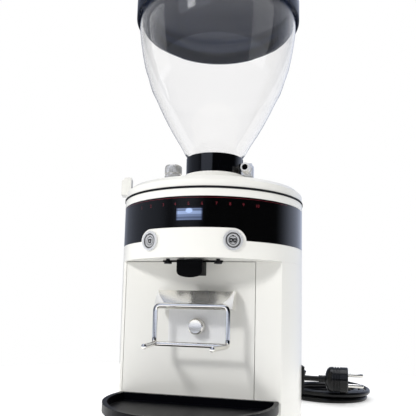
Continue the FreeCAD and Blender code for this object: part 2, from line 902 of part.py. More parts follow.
def make_feet():
    feet = []
    screws = []
    for index, (x, y) in enumerate(FOOT_SPOTS):
        pad_blank = cylinder("foot_blank_%d" % index, "foot_radius", "0", "foot_height", x, y)
        recess = hexagon("foot_recess_%d" % index, "foot_screw_head_radius + hole_gap * 2",
                         "- overrun", "foot_screw_sink + foot_screw_head_height", x, y)
        bore = cylinder("foot_bore_%d" % index, "foot_screw_radius + hole_gap",
                        "0", "foot_height + overrun", x, y)
        feet.append(cut("foot_%d" % index, pad_blank, recess, bore))
        head = hexagon("foot_screw_head_%d" % index, "foot_screw_head_radius",
                       "foot_screw_sink", "foot_screw_sink + foot_screw_head_height", x, y)
        stem = cylinder("foot_screw_stem_%d" % index, "foot_screw_radius",
                        "foot_screw_sink", "foot_screw_reach", x, y)
        screws.append(fuse("foot_screw_%d" % index, head, stem))
    node(group("feet_group", *feet), "rubber_feet")
    node(group("foot_screw_group", *screws), "foot_screws")


def make_column():
    body = new_body("column_blank")
    outline = housing_outline(body, "column_outline", "base_top", "0", "front_flat")
    pad(body, "column_block", outline, "column_height")
    inside = housing_outline(body, "column_inside", "base_top", "column_wall",
                             "front_flat - front_wall")
    pocket(body, "column_hollow", inside, "column_height", reverse=True)
    recess = sketch_on(body, "panel_recess_outline", "XY_Plane", "base_top")
    rectangle(recess, "- panel_left", "panel_right", "- front_flat - overrun", "- panel_face")
    pocket(body, "panel_recess", recess, "column_height", reverse=True)
    window = box("column_window",
                 ("- window_side", "- front_flat - overrun", "base_top + window_margin"),
                 ("window_side", "- front_flat + front_wall + overrun",
                  "head_bottom - window_margin"))
    vents = [box("vent_%d" % index,
                 ("- vent_width / 2", "rear_centre",
                  "fan_height - vent_slot / 2 + vent_pitch * %d - vent_pitch * %d / 2"
                  % (index, int(value("vent_count")) - 1)),
                 ("vent_width / 2", "body_reach + overrun",
                  "fan_height + vent_slot / 2 + vent_pitch * %d - vent_pitch * %d / 2"
                  % (index, int(value("vent_count")) - 1)))
             for index in range(int(value("vent_count")))]
    bosses = [rod("fan_boss_%d" % index, "fan_boss_radius", "fan_back_face",
                  "rear_centre + rear_radius * 0.94", side,
                  "fan_height " + level)
              for index, (side, level) in enumerate(
                  [("fan_boss_spread", "+ fan_boss_spread"),
                   ("fan_boss_spread", "- fan_boss_spread"),
                   ("- fan_boss_spread", "+ fan_boss_spread"),
                   ("- fan_boss_spread", "- fan_boss_spread")])]
    opening = swing(box("switch_opening",
                        ("head_radius - column_wall * 3",
                         "- switch_body_width / 2 - switch_gap",
                         "switch_height - switch_body_tall / 2 - switch_gap"),
                        ("head_radius + overrun",
                         "switch_body_width / 2 + switch_gap",
                         "switch_height + switch_body_tall / 2 + switch_gap")), "switch_angle")
    shell = cut("column_shell", body, window, opening, *vents)
    trimmed = common("fan_bosses", fuse("fan_boss_group", *bosses), housing_envelope())
    node(fuse("column_whole", shell, trimmed), "column_housing")


def housing_envelope():
    """Solid of the column's plan, half a wall inside its surface."""
    body = new_body("column_envelope")
    outline = housing_outline(body, "envelope_outline", "base_top", "column_wall / 2",
                              "front_flat")
    pad(body, "envelope_block", outline, "column_height")
    return body


def make_front_panel():
    low = "base_top + panel_gap"
    high = "head_bottom - panel_gap"
    sheet_box = box("panel_blank", ("- panel_left + panel_gap", "- front_flat", low),
                    ("panel_right - panel_gap", "- panel_face - panel_gap", high))
    slot = box("panel_slot",
               ("- holder_slot_width / 2", "- front_flat - overrun",
                "clamp_height - holder_travel - clamp_stud_radius"),
               ("holder_slot_width / 2", "- panel_face + overrun",
                "clamp_height + holder_travel + clamp_stud_radius"))
    ends = [rod("slot_end_%d" % index, "holder_slot_width / 2", "- front_flat - overrun",
                "- panel_face + overrun", "0", level)
            for index, level in enumerate(
                ("clamp_height - holder_travel - clamp_stud_radius",
                 "clamp_height + holder_travel + clamp_stud_radius"))]
    node(cut("panel_cut", sheet_box, slot, *ends), "front_panel")


# Head, control band and buttons

def obround(label, radius, front, back):
    """Long rounded bar along Y, centred on the two push buttons."""
    low = "button_height - " + radius
    high = "button_height + " + radius
    middle = box(label + "_middle", ("- bump_side", front, low), ("bump_side", back, high))
    ends = [rod("%s_end_%d" % (label, index), radius, front, back, side, "button_height")
            for index, side in enumerate(("bump_side", "- bump_side"))]
    return fuse(label, middle, *ends)


def band_sector(label, radius, low, high):
    """Part of a cylinder that the control band spans, centred on the front."""
    thing = cylinder(label, radius, low, high)
    bind(thing, "Angle", "band_angle")
    thing.Placement.Rotation = Rotation(Vector(0, 0, 1), -90 - value("band_angle") / 2)
    thing.setExpression("Placement.Rotation.Angle", "90 + Sizes.band_angle / 2")
    thing.Placement.Rotation = Rotation(Vector(0, 0, -1), 90 + value("band_angle") / 2)
    return thing


def button_hole(index, side):
    thing = rod("button_hole_%d" % index, "button_barrel_radius + hole_gap",
                "- head_radius - overrun", "- head_radius + head_wall * 2", "0",
                "button_height")
    holder = group("button_hole_set_%d" % index, thing)
    return swing(holder, side + "button_angle")


def make_head():
    body = new_body("head_blank")
    pad(body, "head_block", round_housing_outline(body, "head_outline", "head_bottom", "0"),
        "head_height")
    hollow = new_body("head_hollow")
    pad(hollow, "head_hollow_block",
        round_housing_outline(hollow, "head_hollow_outline", "head_inside", "head_wall"),
        "head_height - head_floor - head_wall")
    mouth = cylinder("head_mouth", "head_mouth_radius", "head_inside + head_floor",
                     "head_top + overrun")
    motor_hole = cylinder("motor_hole", "motor_hole_radius", "head_bottom - overrun",
                          "head_inside + overrun")
    duct = box("duct_hole",
               ("- spout_width / 2 - hole_gap", "- spout_front - hole_gap",
                "head_bottom - overrun"),
               ("spout_width / 2 + hole_gap", "- spout_back + hole_gap",
                "head_inside + overrun"))
    outer = band_sector("band_cut_outer", "head_radius + overrun", "band_low", "band_high")
    inner = band_sector("band_cut_inner", "head_radius - band_depth", "band_low - overrun",
                        "band_high + overrun")
    bump = obround("bump", "bump_radius", "- head_radius - overrun * 2",
                   "- head_radius + bump_side")
    recess = cut("band_recess", outer, inner, bump)
    window = box("head_window",
                 ("- window_width / 2 - head_wall / 2", "- head_radius - overrun",
                  "window_low - head_wall / 2"),
                 ("window_width / 2 + head_wall / 2", "- head_radius + head_wall * 2",
                  "window_low + window_height + head_wall / 2"))
    holes = [button_hole(0, ""), button_hole(1, "- ")]
    spots = [cylinder("spout_thread_%d" % index, "lever_screw_radius + hole_gap",
                      "head_bottom - overrun", "head_inside + overrun", side,
                      "- spout_screw_ahead")
             for index, side in enumerate(("spout_screw_side", "- spout_screw_side"))]
    chamber_spots = [cylinder("chamber_thread_%d" % index, "foot_screw_radius + hole_gap",
                              "head_bottom - overrun", "head_inside + overrun", x, y)
                     for index, (x, y) in enumerate(CHAMBER_SPOTS)]
    node(cut("head_cut", body, hollow, mouth, motor_hole, duct, recess, window,
             *holes, *spots, *chamber_spots), "head_shell")


CHAMBER_SPOTS = [
    ("chamber_screw_circle * 0.7071", "chamber_screw_circle * 0.7071"),
    ("- chamber_screw_circle * 0.7071", "chamber_screw_circle * 0.7071"),
    ("chamber_screw_circle * 0.7071", "- chamber_screw_circle * 0.7071"),
    ("- chamber_screw_circle * 0.7071", "- chamber_screw_circle * 0.7071"),
]


def make_band():
    outer = band_sector("fascia_outer", "head_radius - band_gap / 2", "band_low + band_gap",
                        "band_high - band_gap")
    inner = band_sector("fascia_inner", "head_radius - band_depth + band_gap",
                        "band_low - overrun", "band_high + overrun")
    ends = band_ends("fascia_ends")
    bump = obround("fascia_bump", "bump_radius + band_gap", "- head_radius - overrun * 2",
                   "- head_radius + bump_side")
    window = box("fascia_window",
                 ("- window_width / 2", "- head_radius - overrun", "window_low"),
                 ("window_width / 2", "- head_radius + head_wall * 2",
                  "window_low + window_height"))
    node(cut("fascia_cut", outer, inner, ends, bump, window), "control_fascia")
    pane = common("pane_common",
                  cylinder("pane_outer", "head_radius - band_gap", "band_low", "band_high"),
                  box("pane_box",
                      ("- window_width / 2 + band_gap", "- head_radius",
                       "window_low + band_gap"),
                      ("window_width / 2 - band_gap", "- board_ahead",
                       "window_low + window_height - band_gap")))
    core = cylinder("pane_inner", "head_radius - band_gap - window_glass",
                    "band_low - overrun", "band_high + overrun")
    node(cut("pane_cut", pane, core), "display_window")


def band_ends(label):
    """Thin slices that keep the band clear of the ends of its recess."""
    slices = []
    for index, (low, high, axis) in enumerate((
            (("0", "- overrun", "band_low - overrun"),
             ("head_radius + overrun", "band_gap", "band_high + overrun"), Vector(0, 0, 1)),
            (("- head_radius - overrun", "- overrun", "band_low - overrun"),
             ("0", "band_gap", "band_high + overrun"), Vector(0, 0, -1)))):
        end = group("%s_%d" % (label, index),
                    box("%s_box_%d" % (label, index),
                        (low[0], "- band_gap", low[2]), (high[0], "overrun", high[2])))
        end.Placement = Placement(Vector(), Rotation(axis, value("band_angle / 2 - 90")))
        bind(end, "Placement.Rotation.Angle", "band_angle / 2 - 90")
        slices.append(end)
    return fuse(label, *slices)


def make_buttons():
    front = "- head_radius - button_rim_proud"
    rim_back = "- head_radius - band_gap / 2"
    barrel_back = "- head_radius + button_barrel_length"
    bore_back = "- head_radius + button_barrel_length - barrel_end"
    bezels = []
    for index, side in enumerate(("", "- ")):
        rim = rod("button_rim_%d" % index, "button_rim_radius", front, rim_back, "0",
                  "button_height")
        barrel = rod("button_barrel_%d" % index, "button_barrel_radius", rim_back, barrel_back,
                     "0", "button_height")
        bore = rod("button_bore_%d" % index, "button_cap_radius + button_clearance",
                   front + " - overrun", bore_back, "0", "button_height")
        whole = cut("button_bezel_%d" % index, fuse("button_bezel_blank_%d" % index, rim, barrel),
                    bore)
        bezels.append(swing(whole, side + "button_angle"))
        cap = rod("button_cap_%d" % index, "button_cap_radius",
                  front + " + button_cap_sink", front + " + button_cap_sink + button_cap_length",
                  "0", "button_height")
        holder = swing(group("button_cap_set_%d" % index, cap), side + "button_angle")
        node(holder, ("button_right", "button_left")[index])
    node(group("button_bezel_group", *bezels), "button_bezels")


def make_control_board():
    node(box("board_box", ("- board_side", "- board_ahead", "board_low"),
             ("board_side", "- board_ahead + board_thickness", "board_low + board_height")),
         "control_board")
    node(box("module_box",
             ("- module_width / 2", "- head_radius + head_wall + module_gap", "module_low"),
             ("module_width / 2", "- board_ahead", "module_low + module_height")),
         "display_module")


# Spout

def make_spout():
    body = new_body("spout_blank")
    side = sketch_on(body, "spout_side", "YZ_Plane")
    polygon(side, [
        ("- spout_front", "spout_bottom"),
        ("- spout_back", "spout_bottom"),
        ("- spout_back", "spout_crest - spout_slope"),
        ("- chamber_outer_radius - seat_gap", "spout_crest - spout_throat_height"),
        ("- chamber_outer_radius - seat_gap", "spout_crest"),
        ("- spout_front", "spout_crest"),
    ])
    pad(body, "spout_block", side, "spout_width", both=True)
    duct = sketch_on(body, "spout_duct", "YZ_Plane")
    polygon(duct, [
        ("- spout_front + spout_wall", "spout_bottom - overrun"),
        ("- spout_back - spout_wall", "spout_bottom - overrun"),
        ("- spout_back - spout_wall", "spout_crest - spout_slope + spout_wall"),
        ("- chamber_outer_radius + overrun", "spout_crest - spout_throat_height + spout_wall"),
        ("- chamber_outer_radius + overrun", "spout_crest - spout_wall"),
        ("- spout_front + spout_wall", "spout_crest - spout_wall"),
    ])
    pocket(body, "spout_bore", duct, "spout_width - spout_wall - spout_wall", both=True)
    flange = box("spout_flange",
                 ("- spout_flange_width / 2", "- spout_flange_front",
                  "head_bottom - spout_flange_thickness - band_gap"),
                 ("spout_flange_width / 2", "- spout_flange_back", "head_bottom - band_gap"))
    clear = box("spout_flange_clear",
                ("- spout_width / 2 + spout_wall / 2", "- spout_front + spout_wall / 2",
                 "head_bottom - spout_flange_thickness * 2"),
                ("spout_width / 2 - spout_wall / 2", "- spout_back - spout_wall / 2",
                 "head_bottom + overrun"))
    plate = cut("spout_flange_cut", flange, clear)
    lip = fuse("spout_lip",
               rod("spout_lip_round", "spout_round", "- spout_front - overrun",
                   "- spout_back + overrun", "0", "spout_bottom + spout_round"),
               box("spout_lip_keep",
                   ("- spout_flange_width", "- spout_front - overrun",
                    "spout_bottom + spout_round / 2"),
                   ("spout_flange_width", "- chamber_outer_radius + overrun",
                    "spout_crest + overrun")))
    holes = [cylinder("spout_hole_%d" % index, "lever_screw_radius + hole_gap",
                      "head_bottom - spout_flange_thickness * 2", "head_bottom + overrun",
                      side_text, "- spout_screw_ahead")
             for index, side_text in enumerate(("spout_screw_side", "- spout_screw_side"))]
    rounded = common("spout_rounded", body, lip)
    node(cut("spout_cut", fuse("spout_whole", rounded, plate), *holes), "spout_housing")
    screws = []
    for index, side_text in enumerate(("spout_screw_side", "- spout_screw_side")):
        under = "head_bottom - spout_flange_thickness - band_gap"
        head = hexagon("spout_screw_head_%d" % index, "lever_screw_radius * 2",
                       under + " - lever_screw_head_height", under, side_text,
                       "- spout_screw_ahead")
        stem = cylinder("spout_screw_stem_%d" % index, "lever_screw_radius",
                        under + " - lever_screw_head_height", "head_inside", side_text,
                        "- spout_screw_ahead")
        screws.append(fuse("spout_screw_%d" % index, head, stem))
    node(group("spout_screw_group", *screws), "spout_screws")


# Grinding chamber, motor and burrs

def make_chamber():
    flange = box("chamber_flange",
                 ("- chamber_flange_side", "- chamber_flange_side", "head_inside"),
                 ("chamber_flange_side", "chamber_flange_side",
                  "head_inside + chamber_flange_thickness"))
    wall = many_sided("chamber_wall", 12, "chamber_outer_radius", "head_inside", "chamber_top")
    bore = cylinder("chamber_bore", "chamber_radius", "head_inside + chamber_floor",
                    "chamber_top + overrun")
    seat = cylinder("chamber_seat", "bearing_outer_radius + bearing_seat_gap",
                    "head_inside - overrun", "chamber_top")
    port = box("chamber_port",
               ("- port_width / 2", "- chamber_outer_radius - overrun", "port_low"),
               ("port_width / 2", "- chamber_radius * 0.8", "port_low + port_height"))
    holes = [cylinder("chamber_hole_%d" % index, "foot_screw_radius + hole_gap",
                      "head_inside - overrun", "head_inside + chamber_flange_thickness + overrun",
                      x, y)
             for index, (x, y) in enumerate(CHAMBER_SPOTS)]
    node(cut("chamber_cut", fuse("chamber_blank", flange, wall), bore, seat, port, *holes),
         "grind_chamber")
    screws = []
    for index, (x, y) in enumerate(CHAMBER_SPOTS):
        top = "head_inside + chamber_flange_thickness"
        head = hexagon("chamber_screw_head_%d" % index, "foot_screw_head_radius", top,
                       top + " + foot_screw_head_height", x, y)
        stem = cylinder("chamber_screw_stem_%d" % index, "foot_screw_radius",
                        "head_bottom + overrun / 2", top + " + foot_screw_head_height", x, y)
        screws.append(fuse("chamber_screw_%d" % index, head, stem))
    node(group("chamber_screw_group", *screws), "chamber_screws")


def make_motor():
    node(cut("motor_cut",
             many_sided("motor_tube", 8, "motor_radius", "shield_top", "motor_top"),
             many_sided("motor_inside", 8, "motor_radius - motor_wall",
                        "shield_top - overrun", "motor_top - motor_top_plate"),
             cylinder("motor_top_hole", "bearing_lip_radius", "shield_top",
                      "motor_top + overrun")), "motor_housing")
    node(cut("shield_cut",
             fuse("shield_blank",
                  many_sided("shield_plate", 8, "motor_radius", "motor_bottom", "shield_top"),
                  many_sided("shield_hub", 12, "shield_hub_radius", "motor_bottom",
                             "shield_top + shield_hub_height")),
             cylinder("shield_seat", "bearing_outer_radius + bearing_seat_gap",
                      "lower_bearing_bottom", "shield_top + shield_hub_height + overrun"),
             cylinder("shield_hole", "bearing_lip_radius", "motor_bottom - overrun",
                      "shield_top")), "motor_end_shield")
    node(cut("stator_cut",
             many_sided("stator_stack", 8, "motor_radius - motor_wall - stator_gap",
                        "core_bottom", "core_top"),
             cylinder("stator_hole", "stator_bore", "core_bottom - overrun",
                      "core_top + overrun")), "stator_core")
    rings = [cut("winding_%d" % index,
                 many_sided("winding_outside_%d" % index, 8, "copper_outer", low, high),
                 many_sided("winding_inside_%d" % index, 8, "copper_inner",
                            low + " - overrun", high + " + overrun"))
             for index, (low, high) in enumerate(
                 [("core_bottom - copper_height", "core_bottom"),
                  ("core_top", "core_top + copper_height")])]
    node(group("winding_group", *rings), "stator_windings")
    bearings = [turned("bearing_%d" % index, [
        ("shaft_radius + shaft_fit", low), ("bearing_outer_radius", low),
        ("bearing_outer_radius", low + " + bearing_height"),
        ("shaft_radius + shaft_fit", low + " + bearing_height"),
    ]) for index, low in enumerate(("lower_bearing_bottom", "head_inside"))]
    node(group("bearing_group", *bearings), "shaft_bearings")


def make_rotor():
    node(turned("rotor_stack", [
        ("shaft_radius + shaft_fit", "core_bottom"), ("rotor_radius", "core_bottom"),
        ("rotor_radius", "core_top"), ("shaft_radius + shaft_fit", "core_top"),
    ]), "rotor_core")
    node(fuse("shaft_whole",
              cylinder("shaft_bar", "shaft_radius", "shaft_bottom",
                       "lower_burr_seat + burr_dish"),
              hexagon("shaft_nut", "carrier_hub_radius - burr_dish", "lower_burr_seat",
                      "lower_burr_seat + burr_dish * 2")), "rotor_shaft")
    body = turned("lower_carrier_blank", [
        ("shaft_radius + shaft_fit", "carrier_bottom"), ("carrier_radius", "carrier_bottom"),
        ("carrier_radius", "lower_burr_seat"), ("shaft_radius + shaft_fit", "lower_burr_seat"),
    ])
    blades = [swing(group("sweeper_set_%d" % index,
                          box("sweeper_%d" % index,
                              ("carrier_hub_radius", "- sweeper_width / 2", "carrier_bottom"),
                              ("sweeper_reach", "sweeper_width / 2", "lower_burr_seat"))),
                    "120 * %d" % index)
              for index in range(3)]
    holes = burr_screw_holes("lower", "carrier_bottom - overrun", "lower_burr_seat + overrun")
    node(cut("lower_carrier_cut", fuse("lower_carrier_whole", body, *blades), *holes),
         "lower_burr_carrier")


BURR_SPOTS = [
    ("burr_screw_circle", "0"),
    ("- burr_screw_circle / 2", "burr_screw_circle * 0.866"),
    ("- burr_screw_circle / 2", "- burr_screw_circle * 0.866"),
]


def burr_screw_holes(label, low, high):
    return [cylinder("%s_burr_hole_%d" % (label, index), "burr_screw_radius + hole_gap",
                     low, high, x, y)
            for index, (x, y) in enumerate(BURR_SPOTS)]


def burr_groove(label, face, up, index):
    """Skewed groove that runs out towards the rim, wide and deep at the bore."""
    thing = doc.addObject("Part::Wedge", label)
    down = "- " if up == "+ " else "+ "
    over = face + " " + up + "overrun"
    deep = face + " " + down + "tooth_depth"
    fine = face + " " + down + "tooth_depth * tooth_fineness"
    low, high, low_rim, high_rim = ((deep, over, fine, over) if up == "+ "
                                    else (over, deep, over, fine))
    for target, text in (("Xmin", "- tooth_width / 2"), ("Xmax", "tooth_width / 2"),
                         ("X2min", "tooth_skew"),
                         ("X2max", "tooth_skew + tooth_width * tooth_fineness"),
                         ("Ymin", "burr_bore - overrun"), ("Ymax", "burr_radius + overrun"),
                         ("Zmin", low), ("Zmax", high),
                         ("Z2min", low_rim), ("Z2max", high_rim)):
        setattr(thing, target, value(text))
        bind(thing, target, text)
    holder = group(label + "_set", thing)
    holder.Placement.Rotation = Rotation(Vector(0, 0, 1),
                                         360.0 / value("tooth_count") * index)
    return holder


def make_burr(label, seat, face, up):
    """Flat burr: ring with skewed grooves that get finer towards the rim.

    up is the sign that points from the seat towards the cutting face."""
    down = "- " if up == "+ " else "+ "
    body = turned(label + "_blank", [
        ("burr_bore", seat), ("burr_radius", seat), ("burr_radius", face), ("burr_bore", face),
    ])
    grooves = [burr_groove("%s_groove_%d" % (label, index), face, up, index)
               for index in range(int(value("tooth_count")))]
    low, high = (seat, face) if up == "+ " else (face, seat)
    holes = burr_screw_holes(label, low + " - overrun", high + " + overrun")
    sinks = [hexagon("%s_sink_%d" % (label, index), "burr_screw_head_radius + hole_gap * 2",
                     (face + " - burr_screw_head_height") if up == "+ " else face + " - overrun",
                     (face + " + overrun") if up == "+ " else face + " + burr_screw_head_height",
                     x, y)
             for index, (x, y) in enumerate(BURR_SPOTS)]
    node(cut(label + "_cut", body, *grooves, *holes, *sinks), label)
    screws = []
    for index, (x, y) in enumerate(BURR_SPOTS):
        if up == "+ ":
            ends = (face + " - burr_screw_length", face + " - burr_dish / 2")
            cap = (face + " - burr_screw_head_height", face + " - burr_gap")
        else:
            ends = (face + " + burr_dish / 2", face + " + burr_screw_length")
            cap = (face + " + burr_gap", face + " + burr_screw_head_height")
        head = hexagon("%s_screw_head_%d" % (label, index), "burr_screw_head_radius", *cap, x, y)
        stem = cylinder("%s_screw_stem_%d" % (label, index), "burr_screw_radius", *ends, x, y)
        screws.append(fuse("%s_screw_%d" % (label, index), head, stem))
    node(group(label + "_screw_group", *screws), label + "_screws")


# Adjusting ring, lever, lock knob and hopper collar

def make_adjusting_ring():
    body = turned("upper_carrier_blank", [
        ("throat_radius", "upper_burr_seat"),
        ("chamber_radius - upper_carrier_gap", "upper_burr_seat"),
        ("chamber_radius - upper_carrier_gap", "chamber_top + upper_carrier_gap"),
        ("upper_flange_radius", "chamber_top + upper_carrier_gap"),
        ("upper_flange_radius", "drum_bottom"),
        ("sleeve_radius", "drum_bottom"),
        ("sleeve_radius", "boss_top"),
        ("throat_radius", "boss_top"),
    ])
    holes = burr_screw_holes("upper", "upper_burr_seat - overrun",
                             "upper_burr_face + burr_screw_length + hole_gap")
    node(cut("upper_carrier_cut", body, *holes), "upper_burr_carrier")
    drum = turned("drum_blank", [
        ("sleeve_radius + sleeve_gap", "drum_bottom"),
        ("drum_hub_radius", "drum_bottom"),
        ("drum_hub_radius", "drum_bottom + drum_deck"),
        ("drum_radius - drum_wall", "drum_bottom + drum_deck"),
        ("drum_radius - drum_wall", "drum_bottom"),
        ("drum_radius", "drum_bottom"),
        ("drum_radius", "drum_top - drum_shoulder_drop"),
        ("drum_radius - drum_shoulder", "drum_top"),
        ("boss_outer_radius", "drum_top"),
        ("boss_outer_radius", "boss_top"),
        ("sleeve_radius + sleeve_gap", "boss_top"),
    ])
    stud_hole = cylinder("lock_stud_hole", "lock_stud_radius + hole_gap",
                         "drum_bottom", "drum_top + overrun",
                         "lock_knob_side", "- lock_knob_ahead")
    seat = swing(box("lever_seat",
                     ("- lever_width / 2 - hole_gap", "- lever_outer",
                      "drum_top - lever_foot"),
                     ("lever_width / 2 + hole_gap", "- lever_inner + hole_gap",
                      "drum_top + lever_height")), "lever_angle")
    threads = [swing(group("lever_thread_set_%d" % index,
                           cylinder("lever_thread_%d" % index, "lever_screw_radius + hole_gap",
                                    "drum_top - lever_foot - lever_screw_reach",
                                    "drum_top + overrun", side, "- lever_inner - lever_foot")),
                     "lever_angle")
               for index, side in enumerate(("lever_screw_spread", "- lever_screw_spread"))]
    node(cut("drum_cut", drum, stud_hole, seat, *threads), "adjusting_drum")


def make_lever():
    body = new_body("lever_blank")
    side = sketch_on(body, "lever_side", "YZ_Plane")
    polygon(side, [
        ("- lever_inner", "drum_top - lever_foot"),
        ("- lever_inner", "drum_top + lever_screw_head_height"),
        ("- lever_inner - lever_foot * 2", "drum_top + lever_screw_head_height"),
        ("- lever_inner - lever_foot * 2", "drum_top + lever_height"),
        ("- lever_outer + lever_round", "drum_top + lever_height"),
        ("- lever_outer", "drum_top + lever_height - lever_round"),
        ("- lever_outer", "drum_top - lever_foot + band_gap"),
        ("- lever_outer + lever_round", "drum_top - lever_foot"),
    ])
    pad(body, "lever_block", side, "lever_width", both=True)
    holes = [cylinder("lever_hole_%d" % index, "lever_screw_radius + hole_gap",
                      "drum_top - lever_foot - overrun", "drum_top + lever_height", side_text,
                      "- lever_inner - lever_foot")
             for index, side_text in enumerate(("lever_screw_spread", "- lever_screw_spread"))]
    node(swing(cut("lever_cut", body, *holes), "lever_angle"), "adjusting_lever")
    screws = []
    for index, side_text in enumerate(("lever_screw_spread", "- lever_screw_spread")):
        top = "drum_top + lever_screw_head_height"
        head = hexagon("lever_screw_head_%d" % index, "lever_screw_radius * 1.6", top,
                       top + " + lever_screw_head_height", side_text,
                       "- lever_inner - lever_foot")
        stem = cylinder("lever_screw_stem_%d" % index, "lever_screw_radius",
                        "drum_top - lever_foot - lever_screw_reach + hole_gap",
                        top + " + lever_screw_head_height", side_text,
                        "- lever_inner - lever_foot")
        screws.append(fuse("lever_screw_%d" % index, head, stem))
    node(swing(group("lever_screw_group", *screws), "lever_angle"), "lever_screws")


def knurled(label, radius, low, high):
    """Round grip with V grooves along its length."""
    body = new_body(label)
    outline = sketch_on(body, label + "_round", "XY_Plane", low)
    circle(outline, "0", "0", radius)
    length = high + " " + less(low)
    pad(body, label + "_block", outline, length)
    notch = sketch_on(body, label + "_notch", "XY_Plane", low)
    polygon(notch, [(radius + " - knurl_depth", "0"),
                    (radius + " + knurl_depth", "knurl_depth * 2"),
                    (radius + " + knurl_depth", "- knurl_depth * 2")])
    groove = pocket(body, label + "_groove", notch, length, reverse=True)
    repeat(body, label + "_grooves", groove, "Z_Axis", "knurl_count")
    return body


def make_lock_knob():
    grip = knurled("lock_grip", "lock_knob_radius", "lock_knob_bottom",
                   "lock_knob_bottom + lock_knob_height")
    stud = cylinder("lock_stud", "lock_stud_radius", "lock_knob_bottom - lock_stud_length",
                    "lock_knob_bottom")
    whole = fuse("lock_knob_whole", grip, stud)
    place(whole, "lock_knob_side", "- lock_knob_ahead", "0")
    node(whole, "lock_knob")


def make_collar():
    ring = cut("collar_ring",
               fuse("collar_blank",
                    cylinder("collar_outer", "collar_radius", "boss_top", "collar_top"),
                    box("collar_ears",
                        ("collar_bore", "- ear_thickness - collar_split / 2",
                         "boss_top + ear_rise"),
                        ("ear_reach", "ear_thickness + collar_split / 2",
                         "boss_top + ear_rise + ear_height"))),
               cylinder("collar_hole", "collar_bore", "boss_top - overrun",
                        "collar_top + overrun"),
               box("collar_gap", ("0", "- collar_split / 2", "boss_top - overrun"),
                   ("ear_reach + overrun", "collar_split / 2", "collar_top + overrun")),
               rod("collar_screw_hole", "collar_screw_radius + hole_gap",
                   "- ear_thickness - collar_split", "ear_thickness + collar_split",
                   "collar_screw_side", "boss_top + collar_screw_rise"))
    node(ring, "hopper_collar")
    start = "- ear_thickness - collar_split / 2 - seat_gap"
    head = rod("collar_screw_head", "collar_screw_head_radius",
               start + " - collar_screw_head_length", start, "collar_screw_side",
               "boss_top + collar_screw_rise")
    stem = rod("collar_screw_stem", "collar_screw_radius", start,
               "ear_thickness + collar_split / 2", "collar_screw_side",
               "boss_top + collar_screw_rise")
    socket = doc.addObject("Part::Prism", "collar_socket")
    socket.Polygon = 6
    bind(socket, "Circumradius", "socket_width")
    socket.setExpression("Height", bound("socket_depth + overrun"))
    place(socket, "collar_screw_side", start + " - collar_screw_head_length - overrun",
          "boss_top + collar_screw_rise", Vector(1, 0, 0), -90)
    node(cut("collar_screw_cut", fuse("collar_screw_whole", head, stem), socket),
         "collar_screw")


def make_guard():
    low = "boss_top - guard_drop"
    high = low + " + guard_height"
    ring = cut("guard_ring_cut",
               cylinder("guard_outer", "throat_radius - band_gap", low, high),
               many_sided("guard_inner", 12, "throat_radius - band_gap - guard_ring",
                          low + " - overrun", high + " + overrun"))
    ribs = [swing(group("guard_rib_set_%d" % index,
                        box("guard_rib_%d" % index, ("0", "- guard_rib / 2", low),
                            ("throat_radius - guard_ring / 2 - band_gap", "guard_rib / 2",
                             high))),
                  "120 * %d" % index)
            for index in range(3)]
    hub = hexagon("guard_hub_post", "guard_hub", low, high)
    node(fuse("guard_whole", ring, hub, *ribs), "finger_guard")


# Hopper and lid

def make_hopper():
    outside = [("neck_radius", "boss_top + seat_gap"), ("neck_radius", "hopper_foot")]
    inside = [("neck_radius - hopper_wall", "boss_top + seat_gap"),
              ("neck_radius - hopper_wall", "hopper_foot")]
    for height_share, radius_share in HOPPER_SHARES:
        level = "hopper_foot + hopper_height * %s" % height_share
        if radius_share == HOPPER_SHARES[0][1]:
            outside.append(("hopper_foot_radius", level))
            continue
        outside.append(("hopper_rim_radius * %s" % radius_share, level))
        inside.append(("hopper_rim_radius * %s - hopper_wall" % radius_share, level))
    node(turned("hopper_turned", outside + inside[::-1]), "hopper_bowl")


def make_lid():
    node(turned("lid_turned", [
        ("0", "lid_top"),
        ("lid_radius - lid_wall", "lid_top"),
        ("lid_radius", "lid_top - lid_wall"),
        ("lid_radius", "lid_seat - lid_skirt"),
        ("lid_radius - lid_wall", "lid_seat - lid_skirt"),
        ("lid_radius - lid_wall", "lid_seat"),
        ("lid_plug_radius", "lid_seat"),
        ("lid_plug_radius", "lid_seat - lid_plug_depth"),
        ("lid_plug_radius - lid_wall", "lid_seat - lid_plug_depth"),
        ("lid_plug_radius - lid_wall", "lid_top - lid_wall"),
        ("0", "lid_top - lid_wall"),
    ]), "hopper_lid")


# Portafilter holder

